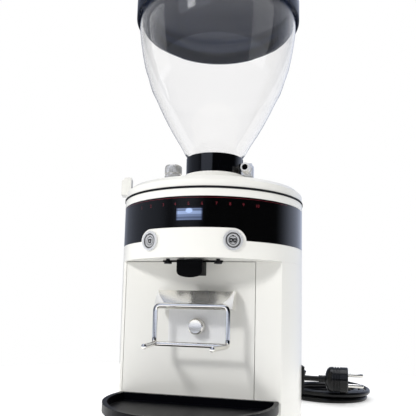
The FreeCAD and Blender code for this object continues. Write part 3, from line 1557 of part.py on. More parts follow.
def make_holder():
    back = box("back_plate_blank",
               ("- holder_plate_side", "- holder_front", "holder_plate_bottom"),
               ("holder_plate_side", "- holder_face", "holder_plate_top"))
    hole = rod("back_plate_hole", "clamp_stud_radius + clamp_hole_gap",
               "- holder_front - overrun", "- holder_face + overrun", "0", "clamp_height")
    holes = screw_rods("back", "holder_screw_radius + hole_gap", "- holder_front - overrun",
                       "- holder_face + overrun")
    node(cut("back_plate_cut", back, hole, *holes), "holder_back_plate")

    body = new_body("rest_blank")
    slope = sketch_on(body, "rest_slope", "YZ_Plane")
    polygon(slope, [
        ("- rest_front", "rest_bottom"),
        ("- rest_front + holder_thickness * 1.2", "rest_bottom"),
        ("- rest_back + holder_thickness * 0.6", "rest_top - holder_thickness"),
        ("- holder_front", "rest_top - holder_thickness"),
        ("- holder_front", "rest_top"),
        ("- rest_back", "rest_top"),
    ])
    pad(body, "rest_slope_sheet", slope, "holder_side * 2", both=True)
    flange = sketch_on(body, "rest_flange", "YZ_Plane")
    polygon(flange, [
        ("- holder_front - holder_thickness", "rest_top - rest_flange_drop"),
        ("- holder_front", "rest_top - rest_flange_drop"),
        ("- holder_front", "rest_top"),
        ("- holder_front - holder_thickness", "rest_top"),
    ])
    pad(body, "rest_flange_sheet", flange, "holder_plate_side * 2", both=True)
    wings = []
    for index, (low, high) in enumerate([("holder_side - holder_thickness", "holder_side"),
                                         ("- holder_side", "- holder_side + holder_thickness")]):
        wing = new_body("wing_%d" % index)
        outline = sketch_on(wing, "wing_outline_%d" % index, "YZ_Plane", low)
        polygon(outline, [
            ("- rest_front", "rest_bottom"),
            ("- wing_back", "rest_bottom"),
            ("- wing_back", "rest_top"),
            ("- rest_back", "rest_top"),
        ])
        pad(wing, "wing_sheet_%d" % index, outline, "holder_thickness")
        wings.append(wing)
    rest_holes = screw_rods("rest", "holder_screw_radius + hole_gap",
                            "- holder_front - holder_thickness - overrun", "- holder_front + overrun")
    node(cut("rest_cut", fuse("rest_whole", body, *wings), *rest_holes), "rest_plate")
    make_holder_screws()
    make_wire_fork()
    make_clamp()


def screw_rods(label, radius, low, high):
    return [rod("%s_holder_hole_%d" % (label, index), radius, low, high, side,
                "holder_screw_height")
            for index, side in enumerate(("holder_screw_side", "- holder_screw_side"))]


def make_holder_screws():
    face = "- holder_front - holder_thickness"
    screws = []
    for index, side in enumerate(("holder_screw_side", "- holder_screw_side")):
        head = rod("holder_screw_head_%d" % index, "holder_screw_head_radius",
                   face + " - holder_screw_head", face, side, "holder_screw_height")
        stem = rod("holder_screw_stem_%d" % index, "holder_screw_radius",
                   face + " - holder_screw_head", "- holder_face", side, "holder_screw_height")
        screws.append(fuse("holder_screw_%d" % index, head, stem))
    node(group("holder_screw_group", *screws), "holder_screws")


def wire_run(label, edges, across):
    """Length of the fork's wire, eight-sided, along a path."""
    first = edges[0]
    start = first.valueAt(first.FirstParameter)
    heading = first.tangentAt(first.FirstParameter)
    aside = Vector(*across)
    up = heading.cross(aside).normalize()
    radius = value("wire_radius")
    corners = []
    for index in range(8):
        angle = math.pi / 4 * (index + 0.5)
        corners.append(start + aside * (radius * math.cos(angle))
                       + up * (radius * math.sin(angle)))
    section = Part.makePolygon(corners + [corners[0]])
    return shape_of(label, Part.Wire(edges).makePipeShell([section], True, False))


def make_wire_fork():
    """Wire loop with two prongs that point forwards."""
    side, ahead = value("wire_side"), -value("wire_ahead")
    top, bottom = value("wire_top"), value("wire_bottom")
    bend, foot = value("wire_bend"), value("wire_bottom - wire_radius")
    swell = bend * (1 - math.sqrt(0.5))
    hoop = [
        Part.LineSegment(Vector(-side, ahead, foot), Vector(-side, ahead, top - bend)),
        Part.Arc(Vector(-side, ahead, top - bend), Vector(-side + swell, ahead, top - swell),
                 Vector(-side + bend, ahead, top)),
        Part.LineSegment(Vector(-side + bend, ahead, top), Vector(side - bend, ahead, top)),
        Part.Arc(Vector(side - bend, ahead, top), Vector(side - swell, ahead, top - swell),
                 Vector(side, ahead, top - bend)),
        Part.LineSegment(Vector(side, ahead, top - bend), Vector(side, ahead, foot)),
    ]
    pieces = [wire_run("wire_hoop", [edge.toShape() for edge in hoop], (0, 1, 0))]
    base = Part.LineSegment(Vector(-side, ahead, bottom), Vector(side, ahead, bottom))
    pieces.append(wire_run("wire_base", [base.toShape()], (0, 1, 0)))
    for index, sign in enumerate((1, -1)):
        prong = Part.LineSegment(Vector(sign * side, ahead, bottom),
                                 Vector(sign * value("prong_side"), -value("prong_reach"),
                                        bottom))
        pieces.append(wire_run("prong_%d" % index, [prong.toShape()], (0, 0, 1)))
    node(fuse("wire_whole", *pieces), "wire_fork")


def make_clamp():
    head = rod("clamp_head", "clamp_knob_radius", "- clamp_knob_front",
               "- holder_front - seat_gap", "0", "clamp_height")
    stud = rod("clamp_stud", "clamp_stud_radius", "- clamp_knob_front + overrun",
               "- clamp_stud_end", "0", "clamp_height")
    node(fuse("clamp_knob_whole", head, stud), "clamp_knob")
    front = "- panel_face + seat_gap"
    nut = box("clamp_nut_blank",
              ("- clamp_nut_width / 2", front, "clamp_height - clamp_nut_height / 2"),
              ("clamp_nut_width / 2", front + " + clamp_nut_thickness",
               "clamp_height + clamp_nut_height / 2"))
    hole = rod("clamp_nut_hole", "clamp_stud_radius + clamp_hole_gap", front + " - overrun",
               front + " + clamp_nut_thickness + overrun", "0", "clamp_height")
    node(cut("clamp_nut_cut", nut, hole), "clamp_nut")


def make_tray():
    body = new_body("tray_blank")
    pad(body, "tray_block", tray_outline(body, "tray_rim", "tray_seat", "0", "tray_rear"),
        "tray_depth")
    pocket(body, "tray_dish",
           tray_outline(body, "tray_dish_outline", "tray_top", "tray_wall",
                        "tray_rear + tray_wall"),
           "tray_depth - tray_floor")
    edges = ["Edge%d" % (index + 1) for index, edge in enumerate(body.Shape.Edges)
             if abs(edge.BoundBox.ZMax - value("tray_seat")) < value("seat_gap")
             and edge.BoundBox.YMin < -value("tray_rear + tray_bevel")]
    dish = body.Tip
    bevel = body.newObject("PartDesign::Chamfer", "tray_bevel_edge")
    bevel.Base = (dish, edges)
    bind(bevel, "Size", "tray_bevel")
    doc.recompute()
    node(body, "drip_tray")


# Power switch

def make_switch():
    low = "switch_height - switch_tall / 2"
    high = "switch_height + switch_tall / 2"
    rim = box("switch_rim", ("head_radius + band_gap / 2", "- switch_width / 2", low),
              ("switch_face", "switch_width / 2", high))
    core = box("switch_core",
               ("head_radius - switch_depth", "- switch_body_width / 2",
                "switch_height - switch_body_tall / 2"),
               ("switch_face", "switch_body_width / 2",
                "switch_height + switch_body_tall / 2"))
    well = box("switch_well",
               ("switch_face - rocker_depth - rocker_proud * 2",
                "- rocker_width / 2 - switch_gap",
                "switch_height - rocker_tall / 2 - rocker_gap"),
               ("switch_face + overrun", "rocker_width / 2 + switch_gap",
                "switch_height + rocker_tall / 2 + rocker_gap"))
    node(swing(cut("switch_cut", fuse("switch_blank", rim, core), well), "switch_angle"),
         "switch_housing")
    body = new_body("rocker_blank")
    outline = sketch_on(body, "rocker_outline", "XZ_Plane")
    polygon(outline, [
        ("- rocker_depth", "- rocker_tall / 2"),
        ("rocker_proud", "- rocker_tall / 2"),
        ("rocker_proud - rocker_dip", "0"),
        ("rocker_proud", "rocker_tall / 2"),
        ("- rocker_depth", "rocker_tall / 2"),
    ])
    pad(body, "rocker_block", outline, "rocker_width", both=True)
    tilted = group("rocker_tilted", body)
    tilted.Placement = Placement(Vector(value("switch_face - rocker_proud / 2"), 0,
                                        value("switch_height")),
                                 Rotation(Vector(0, 1, 0), value("rocker_tilt")))
    bind(tilted, "Placement.Base.x", "switch_face - rocker_proud / 2")
    bind(tilted, "Placement.Base.z", "switch_height")
    bind(tilted, "Placement.Rotation.Angle", "rocker_tilt")
    node(swing(group("rocker_set", tilted), "switch_angle"), "power_rocker")


# Cooling fan

def make_fan():
    back = "fan_back_face"
    frame = box("fan_block", ("- fan_side", "fan_front", "fan_height - fan_side"),
                ("fan_side", back, "fan_height + fan_side"))
    bore = rod("fan_hole", "fan_bore", "fan_front - overrun", back + " + overrun", "0",
               "fan_height")
    ring = cut("fan_ring", frame, bore)
    spider = [
        rod("fan_spider_hub", "fan_hub", back + " - fan_back", back, "0", "fan_height"),
        box("fan_strut_across",
            ("- fan_bore - fan_clearance", back + " - fan_back",
             "fan_height - fan_strut / 2"),
            ("fan_bore + fan_clearance", back, "fan_height + fan_strut / 2")),
        box("fan_strut_upright",
            ("- fan_strut / 2", back + " - fan_back",
             "fan_height - fan_bore - fan_clearance"),
            ("fan_strut / 2", back, "fan_height + fan_bore + fan_clearance")),
    ]
    node(fuse("fan_frame_whole", ring, *spider), "fan_frame")
    hub = rod("fan_rotor_hub", "fan_hub", "fan_front + fan_clearance",
              back + " - fan_back - fan_clearance", "0", "fan_height")
    middle = "fan_front / 2 + fan_back_face / 2 - fan_back / 2"
    blades = []
    for index in range(int(value("fan_blade_count"))):
        blade = doc.addObject("Part::Box", "fan_blade_%d" % index)
        blade.setExpression("Length", bound("fan_blade_chord"))
        blade.setExpression("Width", bound("fan_blade_thickness"))
        blade.setExpression("Height", bound("fan_blade_reach - fan_hub / 2"))
        place(blade, "- fan_blade_chord / 2", "- fan_blade_thickness / 2", "fan_hub / 2")
        pitched = group("fan_blade_pitched_%d" % index, blade)
        pitched.Placement = Placement(Vector(), Rotation(Vector(0, 0, 1),
                                                         value("fan_blade_pitch")))
        bind(pitched, "Placement.Rotation.Angle", "fan_blade_pitch")
        spread = group("fan_blade_spread_%d" % index, pitched)
        turn = 360.0 / value("fan_blade_count") * index
        spread.Placement = Placement(Vector(0, value(middle), value("fan_height")),
                                     Rotation(Vector(0, 1, 0), turn))
        bind(spread, "Placement.Base.y", middle)
        bind(spread, "Placement.Base.z", "fan_height")
        blades.append(spread)
    swept = common("fan_blades", fuse("fan_blade_group", *blades),
                   rod("fan_swept_space", "fan_blade_reach", "fan_front + fan_clearance",
                       back + " - fan_back - fan_clearance", "0", "fan_height"))
    node(fuse("fan_rotor_whole", hub, swept), "fan_rotor")


# Electrics behind the motor

def make_electrics():
    node(cylinder("capacitor_can", "capacitor_radius", "capacitor_base",
                  "capacitor_base + capacitor_height", "capacitor_side", "capacitor_behind"),
         "run_capacitor")
    node(box("supply_card", ("supply_side", "supply_front", "capacitor_base"),
             ("supply_side + board_thickness", "supply_front + supply_length",
              "capacitor_base + supply_height")), "power_board")
    node(box("transformer_block",
             ("supply_side - transformer_width",
              "supply_front + supply_length - transformer_length", "capacitor_base"
              " + transformer_rise"),
             ("supply_side", "supply_front + supply_length",
              "capacitor_base + transformer_rise + transformer_height")), "transformer")
    node(box("terminal_body",
             ("terminal_side", "terminal_behind", "capacitor_base"),
             ("terminal_side + terminal_length", "terminal_behind + terminal_depth",
              "capacitor_base + terminal_height")), "terminal_block")


# Mains lead

def make_gland():
    body = turned("gland_blank", [
        ("0", "- base_wall"),
        ("gland_spigot_radius", "- base_wall"),
        ("gland_spigot_radius", "seat_gap"),
        ("gland_flange_radius", "seat_gap"),
        ("gland_flange_radius", "gland_flange"),
        ("gland_tip_radius", "gland_flange"),
        ("gland_tip_radius", "gland_flange + gland_length"),
        ("0", "gland_flange + gland_length"),
    ])
    laid = group("gland_laid", body)
    laid.Placement = Placement(Vector(0, value("rear_radius"), 0), Rotation(Vector(1, 0, 0), -90))
    bind(laid, "Placement.Base.y", "rear_radius")
    node(gland_place(laid), "cable_gland")


def ring_section(centre, direction, sides):
    """Regular outline of a round cord's section, square to its direction."""
    direction = Vector(direction).normalize()
    across = direction.cross(Vector(0, 0, 1)).normalize()
    up = across.cross(direction).normalize()
    radius = value("cord_radius")
    corners = []
    for index in range(sides):
        angle = 2 * math.pi * (index + 0.5) / sides
        corners.append(centre + across * (radius * math.cos(angle))
                       + up * (radius * math.sin(angle)))
    return Part.makePolygon(corners + [corners[0]])


def rounded_path(points):
    """Straight runs joined by tangent arcs, and the least radius among the arcs."""
    edges = []
    radii = []
    start = points[0]
    for before, corner, after in zip(points, points[1:], points[2:]):
        back = (before - corner)
        ahead = (after - corner)
        shorter = min(back.Length, ahead.Length)
        turn = math.pi - back.getAngle(ahead)
        trim = 0.45 * shorter
        radii.append(trim / math.tan(turn / 2))
        back.normalize()
        ahead.normalize()
        enter = corner + back * trim
        leave = corner + ahead * trim
        bisector = (back + ahead).normalize()
        centre = corner + bisector * (radii[-1] / math.cos(turn / 2))
        middle = centre - bisector * radii[-1]
        edges.append(Part.LineSegment(start, enter).toShape())
        edges.append(Part.Arc(enter, middle, leave).toShape())
        start = leave
    edges.append(Part.LineSegment(start, points[-1]).toShape())
    return edges, radii


def tube(label, edges, sides):
    path = Part.Wire(edges)
    first = edges[0]
    heading = first.tangentAt(first.FirstParameter)
    section = ring_section(first.valueAt(first.FirstParameter), heading, sides)
    solid = path.makePipeShell([section], True, False)
    area = sides / 2 * value("cord_radius") ** 2 * math.sin(2 * math.pi / sides)
    share = solid.Volume / (area * path.Length)
    print("%s length %.1f mm, volume over section times length %.4f"
          % (label, path.Length, share))
    return solid, path.Length


def biarc(start, heading, end, end_heading):
    """Two tangent arcs from a point and direction to another point and direction."""
    chord = end - start
    both = heading + end_heading
    lean = 2 * (1 - heading.dot(end_heading))
    reach = (-chord.dot(both) + math.sqrt(chord.dot(both) ** 2 + lean * chord.dot(chord))) / lean
    middle = (start + end + (heading - end_heading) * reach) * 0.5
    return [tangent_arc(start, heading, middle),
            tangent_arc(end, end_heading * -1, middle, backwards=True)]


def tangent_arc(start, heading, end, backwards=False):
    chord = end - start
    half = heading.getAngle(chord)
    normal = chord.cross(heading).cross(chord)
    bulge = chord.Length / 2 * math.tan(half / 2)
    top = (start + end) * 0.5 + normal.normalize() * bulge
    if backwards:
        return Part.Arc(end, top, start).toShape()
    return Part.Arc(start, top, end).toShape()


LAYER_HALF_TURNS = 4
CROSSING = LAYER_HALF_TURNS + 0.5
OUT_AGAIN = 2 * LAYER_HALF_TURNS + 1
COIL_END = OUT_AGAIN + 1


def coil_station(half_turns):
    """Radius and height of the coil after a number of half turns from its outer start."""
    outer, step = value("coil_radius"), value("coil_step")
    inner = outer - step * LAYER_HALF_TURNS
    if half_turns <= LAYER_HALF_TURNS:
        return outer - step * half_turns, value("coil_bottom")
    if half_turns == CROSSING:
        return inner - value("coil_crossing_inset"), value("coil_bottom + coil_layer / 2")
    if half_turns <= OUT_AGAIN:
        return inner + step * (half_turns - LAYER_HALF_TURNS - 1), value("coil_top")
    if half_turns < COIL_END:
        return outer + value("coil_crossing_bulge"), value("coil_top + coil_rise / 2")
    return outer + value("coil_crossing_bulge"), value("coil_end")


def coil_point(half_turns):
    """Place on the coil and the direction in which it is wound there."""
    radius, height = coil_station(half_turns)
    angle = math.pi * (1 + half_turns)
    centre = Vector(value("coil_side"), value("coil_behind"), height)
    heading = Vector(-math.sin(angle), math.cos(angle), 0)
    climb = 0.0
    if half_turns == CROSSING:
        climb = value("coil_layer") * 1.4
    elif half_turns > OUT_AGAIN:
        climb = value("coil_rise") * 1.1
    heading = heading * (math.pi * radius) + Vector(0, 0, climb)
    return centre + Vector(math.cos(angle), math.sin(angle), 0) * radius, heading.normalize()


def coil_edges():
    """Coil laid anticlockwise: in along the floor, up a layer, out again and up at the side."""
    stations = list(range(LAYER_HALF_TURNS + 1)) + [CROSSING]
    stations += list(range(LAYER_HALF_TURNS + 1, OUT_AGAIN + 1)) + [OUT_AGAIN + 0.5, COIL_END]
    stops = [coil_point(station) for station in stations]
    lead = value("cord_radius") * 2
    first, heading = stops[0]
    edges = [Part.LineSegment(first - heading * lead, first).toShape()]
    for (start, out), (end, into) in zip(stops, stops[1:]):
        edges += biarc(start, out, end, into)
    last, heading = stops[-1]
    edges.append(Part.LineSegment(last, last + heading * lead).toShape())
    return edges


def least_gap(edges):
    """Least clear distance of the coil to itself, measured on points along it."""
    points = []
    travelled = 0.0
    step = value("cord_radius") * 0.7
    for edge in edges:
        for spot in edge.discretize(max(3, int(edge.Length / step)))[:-1]:
            points.append((travelled, spot))
            travelled += step
    away = value("coil_radius")
    least = min(
        (one - other).Length
        for index, (at, one) in enumerate(points)
        for beyond, other in points[index + 1:]
        if beyond - at > away)
    return least - 2 * value("cord_radius")


def gland_tip():
    angle = math.radians(value("gland_angle"))
    reach = value("rear_radius + gland_flange + gland_length")
    heading = Vector(-math.sin(angle), math.cos(angle), 0)
    return Vector(0, value("rear_centre"), value("gland_height")) + heading * reach, heading


def supply_points(tip, heading, finish):
    """Even bends of a wide loop from the gland round to the start of the coil."""
    bends = len(DROP_SHARES)
    aside = Vector(heading.y, -heading.x, 0)
    turn = math.pi + math.radians(value("gland_angle"))
    half = turn / bends / 2
    # The loop's radius and the straight before it follow from where the coil starts.
    across = finish.x - tip.x
    along = finish.y - tip.y
    scale = (heading.x * (aside.y - math.tan(half)) - heading.y * (aside.x + 1))
    radius = (heading.x * along - heading.y * across) / scale
    straight = (across - radius * (aside.x + 1)) / heading.x
    centre = tip + heading * straight + aside * radius
    first = math.atan2(-aside.y, -aside.x)
    drop = tip.z - finish.z
    points = [tip]
    for index, share in enumerate(DROP_SHARES):
        angle = first - (2 * index + 1) * half
        reach = radius / math.cos(half)
        points.append(Vector(centre.x + reach * math.cos(angle),
                             centre.y + reach * math.sin(angle), finish.z + drop * share))
    return points + [finish]


def tail_points(start, slope, end):
    """Quarter loop of even bends from the coil's end, heading -Y, to the plug, heading +X."""
    step = math.pi / 2 / TAIL_BENDS
    half = math.tan(step / 2)
    across = (end.x - start.x) / (1 + half)
    along = (start.y - end.y) / (1 + half)
    points = [start]
    for index in range(TAIL_BENDS):
        angle = math.pi + (index + 0.5) * step
        reach = 1 / math.cos(step / 2)
        first = slope * 2 * along * half
        rise = index / (TAIL_BENDS - 1)
        points.append(Vector(start.x + across * (1 + reach * math.cos(angle)),
                             start.y + along * (reach * math.sin(angle) - half),
                             start.z + first + (end.z - start.z - first) * rise))
    return points + [end]


def make_cord():
    tip, heading = gland_tip()
    coil = coil_edges()
    coil_start = coil[0].valueAt(coil[0].FirstParameter)
    coil_finish = coil[-1].valueAt(coil[-1].LastParameter)
    supply, supply_radii = rounded_path(supply_points(tip, heading, coil_start))
    plug_end = Vector(value("coil_side - plug_relief + cord_radius"),
                      value("coil_behind - coil_radius + cord_radius / 3"),
                      value("plug_height"))
    leaving = coil[-1].tangentAt(coil[-1].LastParameter)
    tail, tail_radii = rounded_path(
        tail_points(coil_finish, leaving.z / abs(leaving.y), plug_end))
    for label, radii in (("mains_cord", supply_radii), ("cord_tail", tail_radii)):
        print(label, "radii", " ".join("%.0f" % radius for radius in radii))
    print("least gap of the coil to itself %.2f mm" % least_gap(coil))
    total = 0.0
    for label, edges in (("mains_cord", supply), ("cord_coil", coil), ("cord_tail", tail)):
        solid, length = tube(label, edges, 6)
        total += length
        node(shape_of(label + "_solid", solid), label)
    print("whole lead %.0f mm" % total)
    make_plug(plug_end)


def make_plug(start):
    """Round two-pin plug that lies on the coil and points to +X."""
    relief = Part.makeCylinder(value("gland_tip_radius"), value("plug_relief"), start,
                               Vector(1, 0, 0))
    face = start + Vector(value("plug_relief"), 0, 0)
    body = Part.makeCylinder(value("plug_radius"), value("plug_length"), face, Vector(1, 0, 0))
    shoulder = Part.makeCone(value("plug_radius"), value("gland_spigot_radius"),
                             value("plug_relief / 3"), face, Vector(-1, 0, 0))
    whole = relief.fuse([body, shoulder])
    front = face + Vector(value("plug_length"), 0, 0)
    roll = math.radians(value("plug_roll"))
    for sign in (1, -1):
        aside = Vector(0, math.sin(roll), math.cos(roll)) * (sign * value("plug_pin_spread"))
        pin_rod = Part.makeCylinder(value("plug_pin_radius"),
                                    value("plug_pin_length + overrun"),
                                    front + aside - Vector(value("overrun"), 0, 0),
                                    Vector(1, 0, 0))
        whole = whole.fuse(pin_rod)
    node(shape_of("plug_solid", whole.removeSplitter()), "mains_plug")


def check_and_export():
    """Makes sure that every object is sound, then writes one file for each sub-part."""
    doc.recompute()
    for thing in doc.Objects:
        if "Invalid" in thing.State or "Error" in thing.State:
            raise ValueError("%s failed: %s" % (thing.Name, thing.getStatusString()))
    os.makedirs("parts", exist_ok=True)
    for name, thing in nodes:
        shape = thing.Shape
        if shape.isNull() or not shape.isValid() or not shape.Solids:
            raise ValueError("%s has no sound solid" % name)
        shape.exportStep("parts/%s.step" % name)
    print("%d sub-parts written" % len(nodes))


fill_sheet()
make_base()
make_base_plate()
make_feet()
make_column()
make_front_panel()
make_head()
make_band()
make_buttons()
make_control_board()
make_spout()
make_chamber()
make_motor()
make_rotor()
make_burr("lower_burr", "lower_burr_seat", "lower_burr_face", "+ ")
make_burr("upper_burr", "upper_burr_seat", "upper_burr_face", "- ")
make_adjusting_ring()
make_lever()
make_lock_knob()
make_collar()
make_guard()
make_hopper()
make_lid()
make_holder()
make_tray()
make_switch()
make_fan()
make_electrics()
make_gland()
make_cord()
check_and_export()
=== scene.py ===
import math

import bmesh
import bpy
from bpy.props import FloatProperty, FloatVectorProperty, IntProperty, PointerProperty
from mathutils import Matrix, Vector
from mathutils.bvhtree import BVHTree


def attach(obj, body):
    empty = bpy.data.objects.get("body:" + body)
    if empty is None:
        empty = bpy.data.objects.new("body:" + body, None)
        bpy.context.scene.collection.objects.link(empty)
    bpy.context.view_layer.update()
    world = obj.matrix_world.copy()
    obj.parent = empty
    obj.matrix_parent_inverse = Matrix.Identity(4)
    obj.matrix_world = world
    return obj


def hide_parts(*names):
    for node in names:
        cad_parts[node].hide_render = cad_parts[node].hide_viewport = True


bl_info = {
    "name": "Espresso grinder",
    "version": (1, 0, 0),
    "blender": (4, 5, 0),
    "location": "View3D > Sidebar > Grinder",
    "description": "Finishes, hopper, lead, controls and stage of an espresso grinder",
    "category": "Object",
}

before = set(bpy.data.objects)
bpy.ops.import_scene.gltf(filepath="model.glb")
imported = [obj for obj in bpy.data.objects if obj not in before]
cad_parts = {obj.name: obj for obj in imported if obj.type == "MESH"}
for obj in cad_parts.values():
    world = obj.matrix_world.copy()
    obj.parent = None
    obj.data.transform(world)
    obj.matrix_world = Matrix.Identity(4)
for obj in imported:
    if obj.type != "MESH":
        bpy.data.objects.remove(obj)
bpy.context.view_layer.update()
MM = 0.001
BUTTON_TURN = 24.65
BUTTON_HEIGHT = 181.6


# Finishes


class Level:
    """A socket of a finish's node tree that takes part in sums and products."""

    def __init__(self, finish, socket):
        self.finish = finish
        self.socket = socket

    def maths(self, operation, *terms):
        return self.finish.add("ShaderNodeMath", {"operation": operation},
                               dict(enumerate(terms)))

    def __add__(self, other):
        return self.maths("ADD", self, other)

    def __radd__(self, other):
        return self.maths("ADD", other, self)

    def __sub__(self, other):
        return self.maths("SUBTRACT", self, other)

    def __rsub__(self, other):
        return self.maths("SUBTRACT", other, self)

    def __mul__(self, other):
        return self.maths("MULTIPLY", self, other)

    def __truediv__(self, other):
        return self.maths("DIVIDE", self, other)

    def __gt__(self, other):
        return self.maths("GREATER_THAN", self, other)

    def __lt__(self, other):
        return self.maths("LESS_THAN", self, other)

    def sine(self):
        return self.maths("SINE", self)

    def root(self):
        return self.maths("SQRT", self)

    def size(self):
        return self.maths("ABSOLUTE", self)

    def larger(self, other):
        return self.maths("MAXIMUM", self, other)

    def part(self):
        return self.maths("FRACT", self)

    def angle_to(self, other):
        return self.maths("ARCTAN2", self, other)


class Finish:
    """A material with one main shader, whose look is written as expressions."""

    def __init__(self, name, **constants):
        self.material = bpy.data.materials.new(name)
        self.material.use_nodes = True
        self.tree = self.material.node_tree
        self.tree.nodes.clear()
        self.shader = self.tree.nodes.new("ShaderNodeBsdfPrincipled")
        output = self.tree.nodes.new("ShaderNodeOutputMaterial")
        self.tree.links.new(self.shader.outputs["BSDF"], output.inputs["Surface"])
        self.set(**constants)

    def rise(self, value, start, end):
        """Smooth step from 0 to 1 as a value goes from start to end."""
        return self.add("ShaderNodeMapRange", {"interpolation_type": "SMOOTHSTEP"},
                        {"Value": value, "From Min": start, "From Max": end})

    def add(self, kind, settings, values, output=0):
        """New node of a type with its settings, then the values or links of its sockets."""
        made = self.tree.nodes.new(kind)
        for name, setting in settings.items():
            setattr(made, name, setting)
        for place, value in values.items():
            self.feed(made.inputs[place], value)
        return Level(self, made.outputs[output])

    def feed(self, socket, value):
        if isinstance(value, Level):
            self.tree.links.new(value.socket, socket)
        elif hasattr(socket.default_value, "__len__") and len(socket.default_value) == 4:
            socket.default_value = (*value, 1)
        else:
            socket.default_value = value

    def set(self, **values):
        """Feeds sockets of the main shader, each named in small letters with underscores."""
        sockets = {socket.name.lower().replace(" ", "_"): socket
                   for socket in self.shader.inputs}
        for name, value in values.items():
            self.feed(sockets[name], value)
        return self

    def place(self, stretch=(1, 1, 1), centre=(0, 0, 0)):
        """Places on the object, stretched about a centre."""
        where = self.add("ShaderNodeTexCoord", {}, {}, "Object")
        return self.add("ShaderNodeMapping", {"vector_type": "POINT"}, {
            "Vector": where, "Scale": stretch,
            "Location": [-c * s for c, s in zip(centre, stretch)]})

    def across(self, where):
        """The three coordinates of a place."""
        return [self.add("ShaderNodeSeparateXYZ", {}, {0: where}, axis) for axis in range(3)]

    def noise(self, scale, where=None, detail=2.0, roughness=0.5):
        return self.add("ShaderNodeTexNoise", {}, {
            "Vector": where or self.place(), "Scale": scale, "Detail": detail,
            "Roughness": roughness}, "Fac")

    def shades(self, share, low, high):
        """Colour between two others."""
        return self.add("ShaderNodeMix", {"data_type": "RGBA"},
                        {0: share, 6: low, 7: high}, 2)

    def tinted(self, share, colour, low, high=1.0):
        """Colour between two strengths of itself."""
        return self.shades(share, [c * low for c in colour], [min(1, c * high) for c in colour])

    def soft_edge(self, radius):
        """Surface direction with its edges rounded."""
        return self.add("ShaderNodeBevel", {"samples": 4}, {"Radius": radius})

    def relief(self, height, depth, edge=None):
        values = {"Height": height, "Distance": depth, "Strength": 1.0}
        if edge is not None:
            values["Normal"] = edge
        return self.set(normal=self.add("ShaderNodeBump", {}, values))


class Studio(Finish):
    """World whose light is written as expressions."""

    def __init__(self, name):
        self.world = bpy.data.worlds.new(name)
        self.world.use_nodes = True
        self.tree = self.world.node_tree
        self.shader = self.tree.nodes["Background"]


def enamel(name, paint):
    """Stoved gloss paint with a slight orange peel."""
    finish = Finish(name, coat_weight=0.35, coat_roughness=0.09, specular_ior_level=0.45)
    cloud = finish.noise(14, detail=3)
    fine = finish.noise(900, detail=1)
    finish.set(base_color=finish.tinted(cloud, paint, 0.975, 1.02),
               roughness=0.26 + cloud * 0.08)
    return finish.relief(fine, 0.000012, finish.soft_edge(0.0006))


def gloss_black(name):
    """Polished black plastic with hairline marks."""
    finish = Finish(name, coat_weight=1.0, coat_roughness=0.09, specular_ior_level=0.1)
    smear = finish.noise(30, detail=4)
    marks = finish.noise(60, finish.place((1, 1, 18)), detail=5, roughness=0.7)
    finish.set(base_color=finish.shades(smear, (0.0008,) * 3, (0.00128, 0.00128, 0.00144)),
               roughness=0.12 + smear * 0.1)
    return finish.relief(marks, 0.000004, finish.soft_edge(0.0004))


def collar_finish(name, reach):
    """Polished black ring whose clamp lugs, beyond a distance along X, are bare metal."""
    finish = Finish(name, coat_weight=0.75, coat_roughness=0.08, specular_ior_level=0.1)
    lug = finish.rise(finish.across(finish.place())[0], reach, reach + 0.0002)
    smear = finish.noise(60, detail=3)
    dark = finish.shades(smear, (0.0008, 0.0008, 0.001), (0.0016, 0.0018, 0.003))
    bare = finish.shades(smear, (0.7, 0.71, 0.72), (0.82, 0.82, 0.83))
    finish.set(base_color=finish.shades(lug, dark, bare), metallic=lug * 0.6,
               roughness=0.12 + smear * 0.06 + lug * 0.15)
    return finish.relief(smear, 0.000004, finish.soft_edge(0.0004))


def satin(name, colour, metallic, roughness):
    """Bead-blasted bright metal."""
    finish = Finish(name, metallic=metallic)
    cloud = finish.noise(120, detail=3)
    finish.set(base_color=finish.tinted(cloud, colour, 0.95),
               roughness=roughness + cloud * 0.1)
    return finish.relief(finish.noise(1800, detail=1), 0.000006, finish.soft_edge(0.0003))


def ringed(name, colour, turn, height, lines):
    """Turned buttons to both sides of the front, with dark rings at distances from each middle."""
    finish = Finish(name, metallic=0.4)
    across, along, up = finish.across(finish.place())
    beside = across.size() * math.cos(turn) + along * math.sin(turn)
    over = up - height
    reach = (beside * beside + over * over).root()
    shade = 0.0
    for middle, width, weight in lines:
        shade = finish.rise((reach - middle).size(), width, width * 0.35) * weight + shade
    fine = (reach * 12000.0).sine() * 0.5 + 0.5
    finish.set(base_color=finish.tinted(shade, colour, 1.0, 0.06),
               roughness=0.26 + fine * 0.1)
    return finish.relief(fine, 0.000006, finish.soft_edge(0.0003))


def grained_plastic(name, colour, roughness=0.45, shine=0.45):
    """Moulded plastic with a fine grain."""
    finish = Finish(name, specular_ior_level=shine)
    cloud = finish.noise(20, detail=3)
    grit = finish.noise(1400, detail=2)
    finish.set(base_color=finish.tinted(cloud, colour, 0.88, 1.12),
               roughness=roughness - 0.06 + grit * 0.12)
    return finish.relief(grit, 0.00004, finish.soft_edge(0.0004))


def polished(name, colour=(0.82, 0.82, 0.83), roughness=0.05):
    """Bright plating with faint finger marks."""
    finish = Finish(name, metallic=1.0)
    smear = finish.noise(120, detail=4)
    finish.set(base_color=finish.tinted(smear, colour, 0.95),
               roughness=roughness + smear * 0.05)
    return finish.relief(finish.noise(260, detail=1), 0.000002, finish.soft_edge(0.0003))


def brushed(name, colour, stretch, roughness, metallic=1.0):
    """Steel with fine parallel grinding lines."""
    finish = Finish(name, metallic=metallic)
    lines = finish.noise(90, finish.place(stretch), detail=4, roughness=0.65)
    finish.set(base_color=finish.tinted(lines, colour, 0.84, 1.06),
               roughness=roughness + lines * 0.16)
    return finish.relief(lines, 0.000006, finish.soft_edge(0.0003))


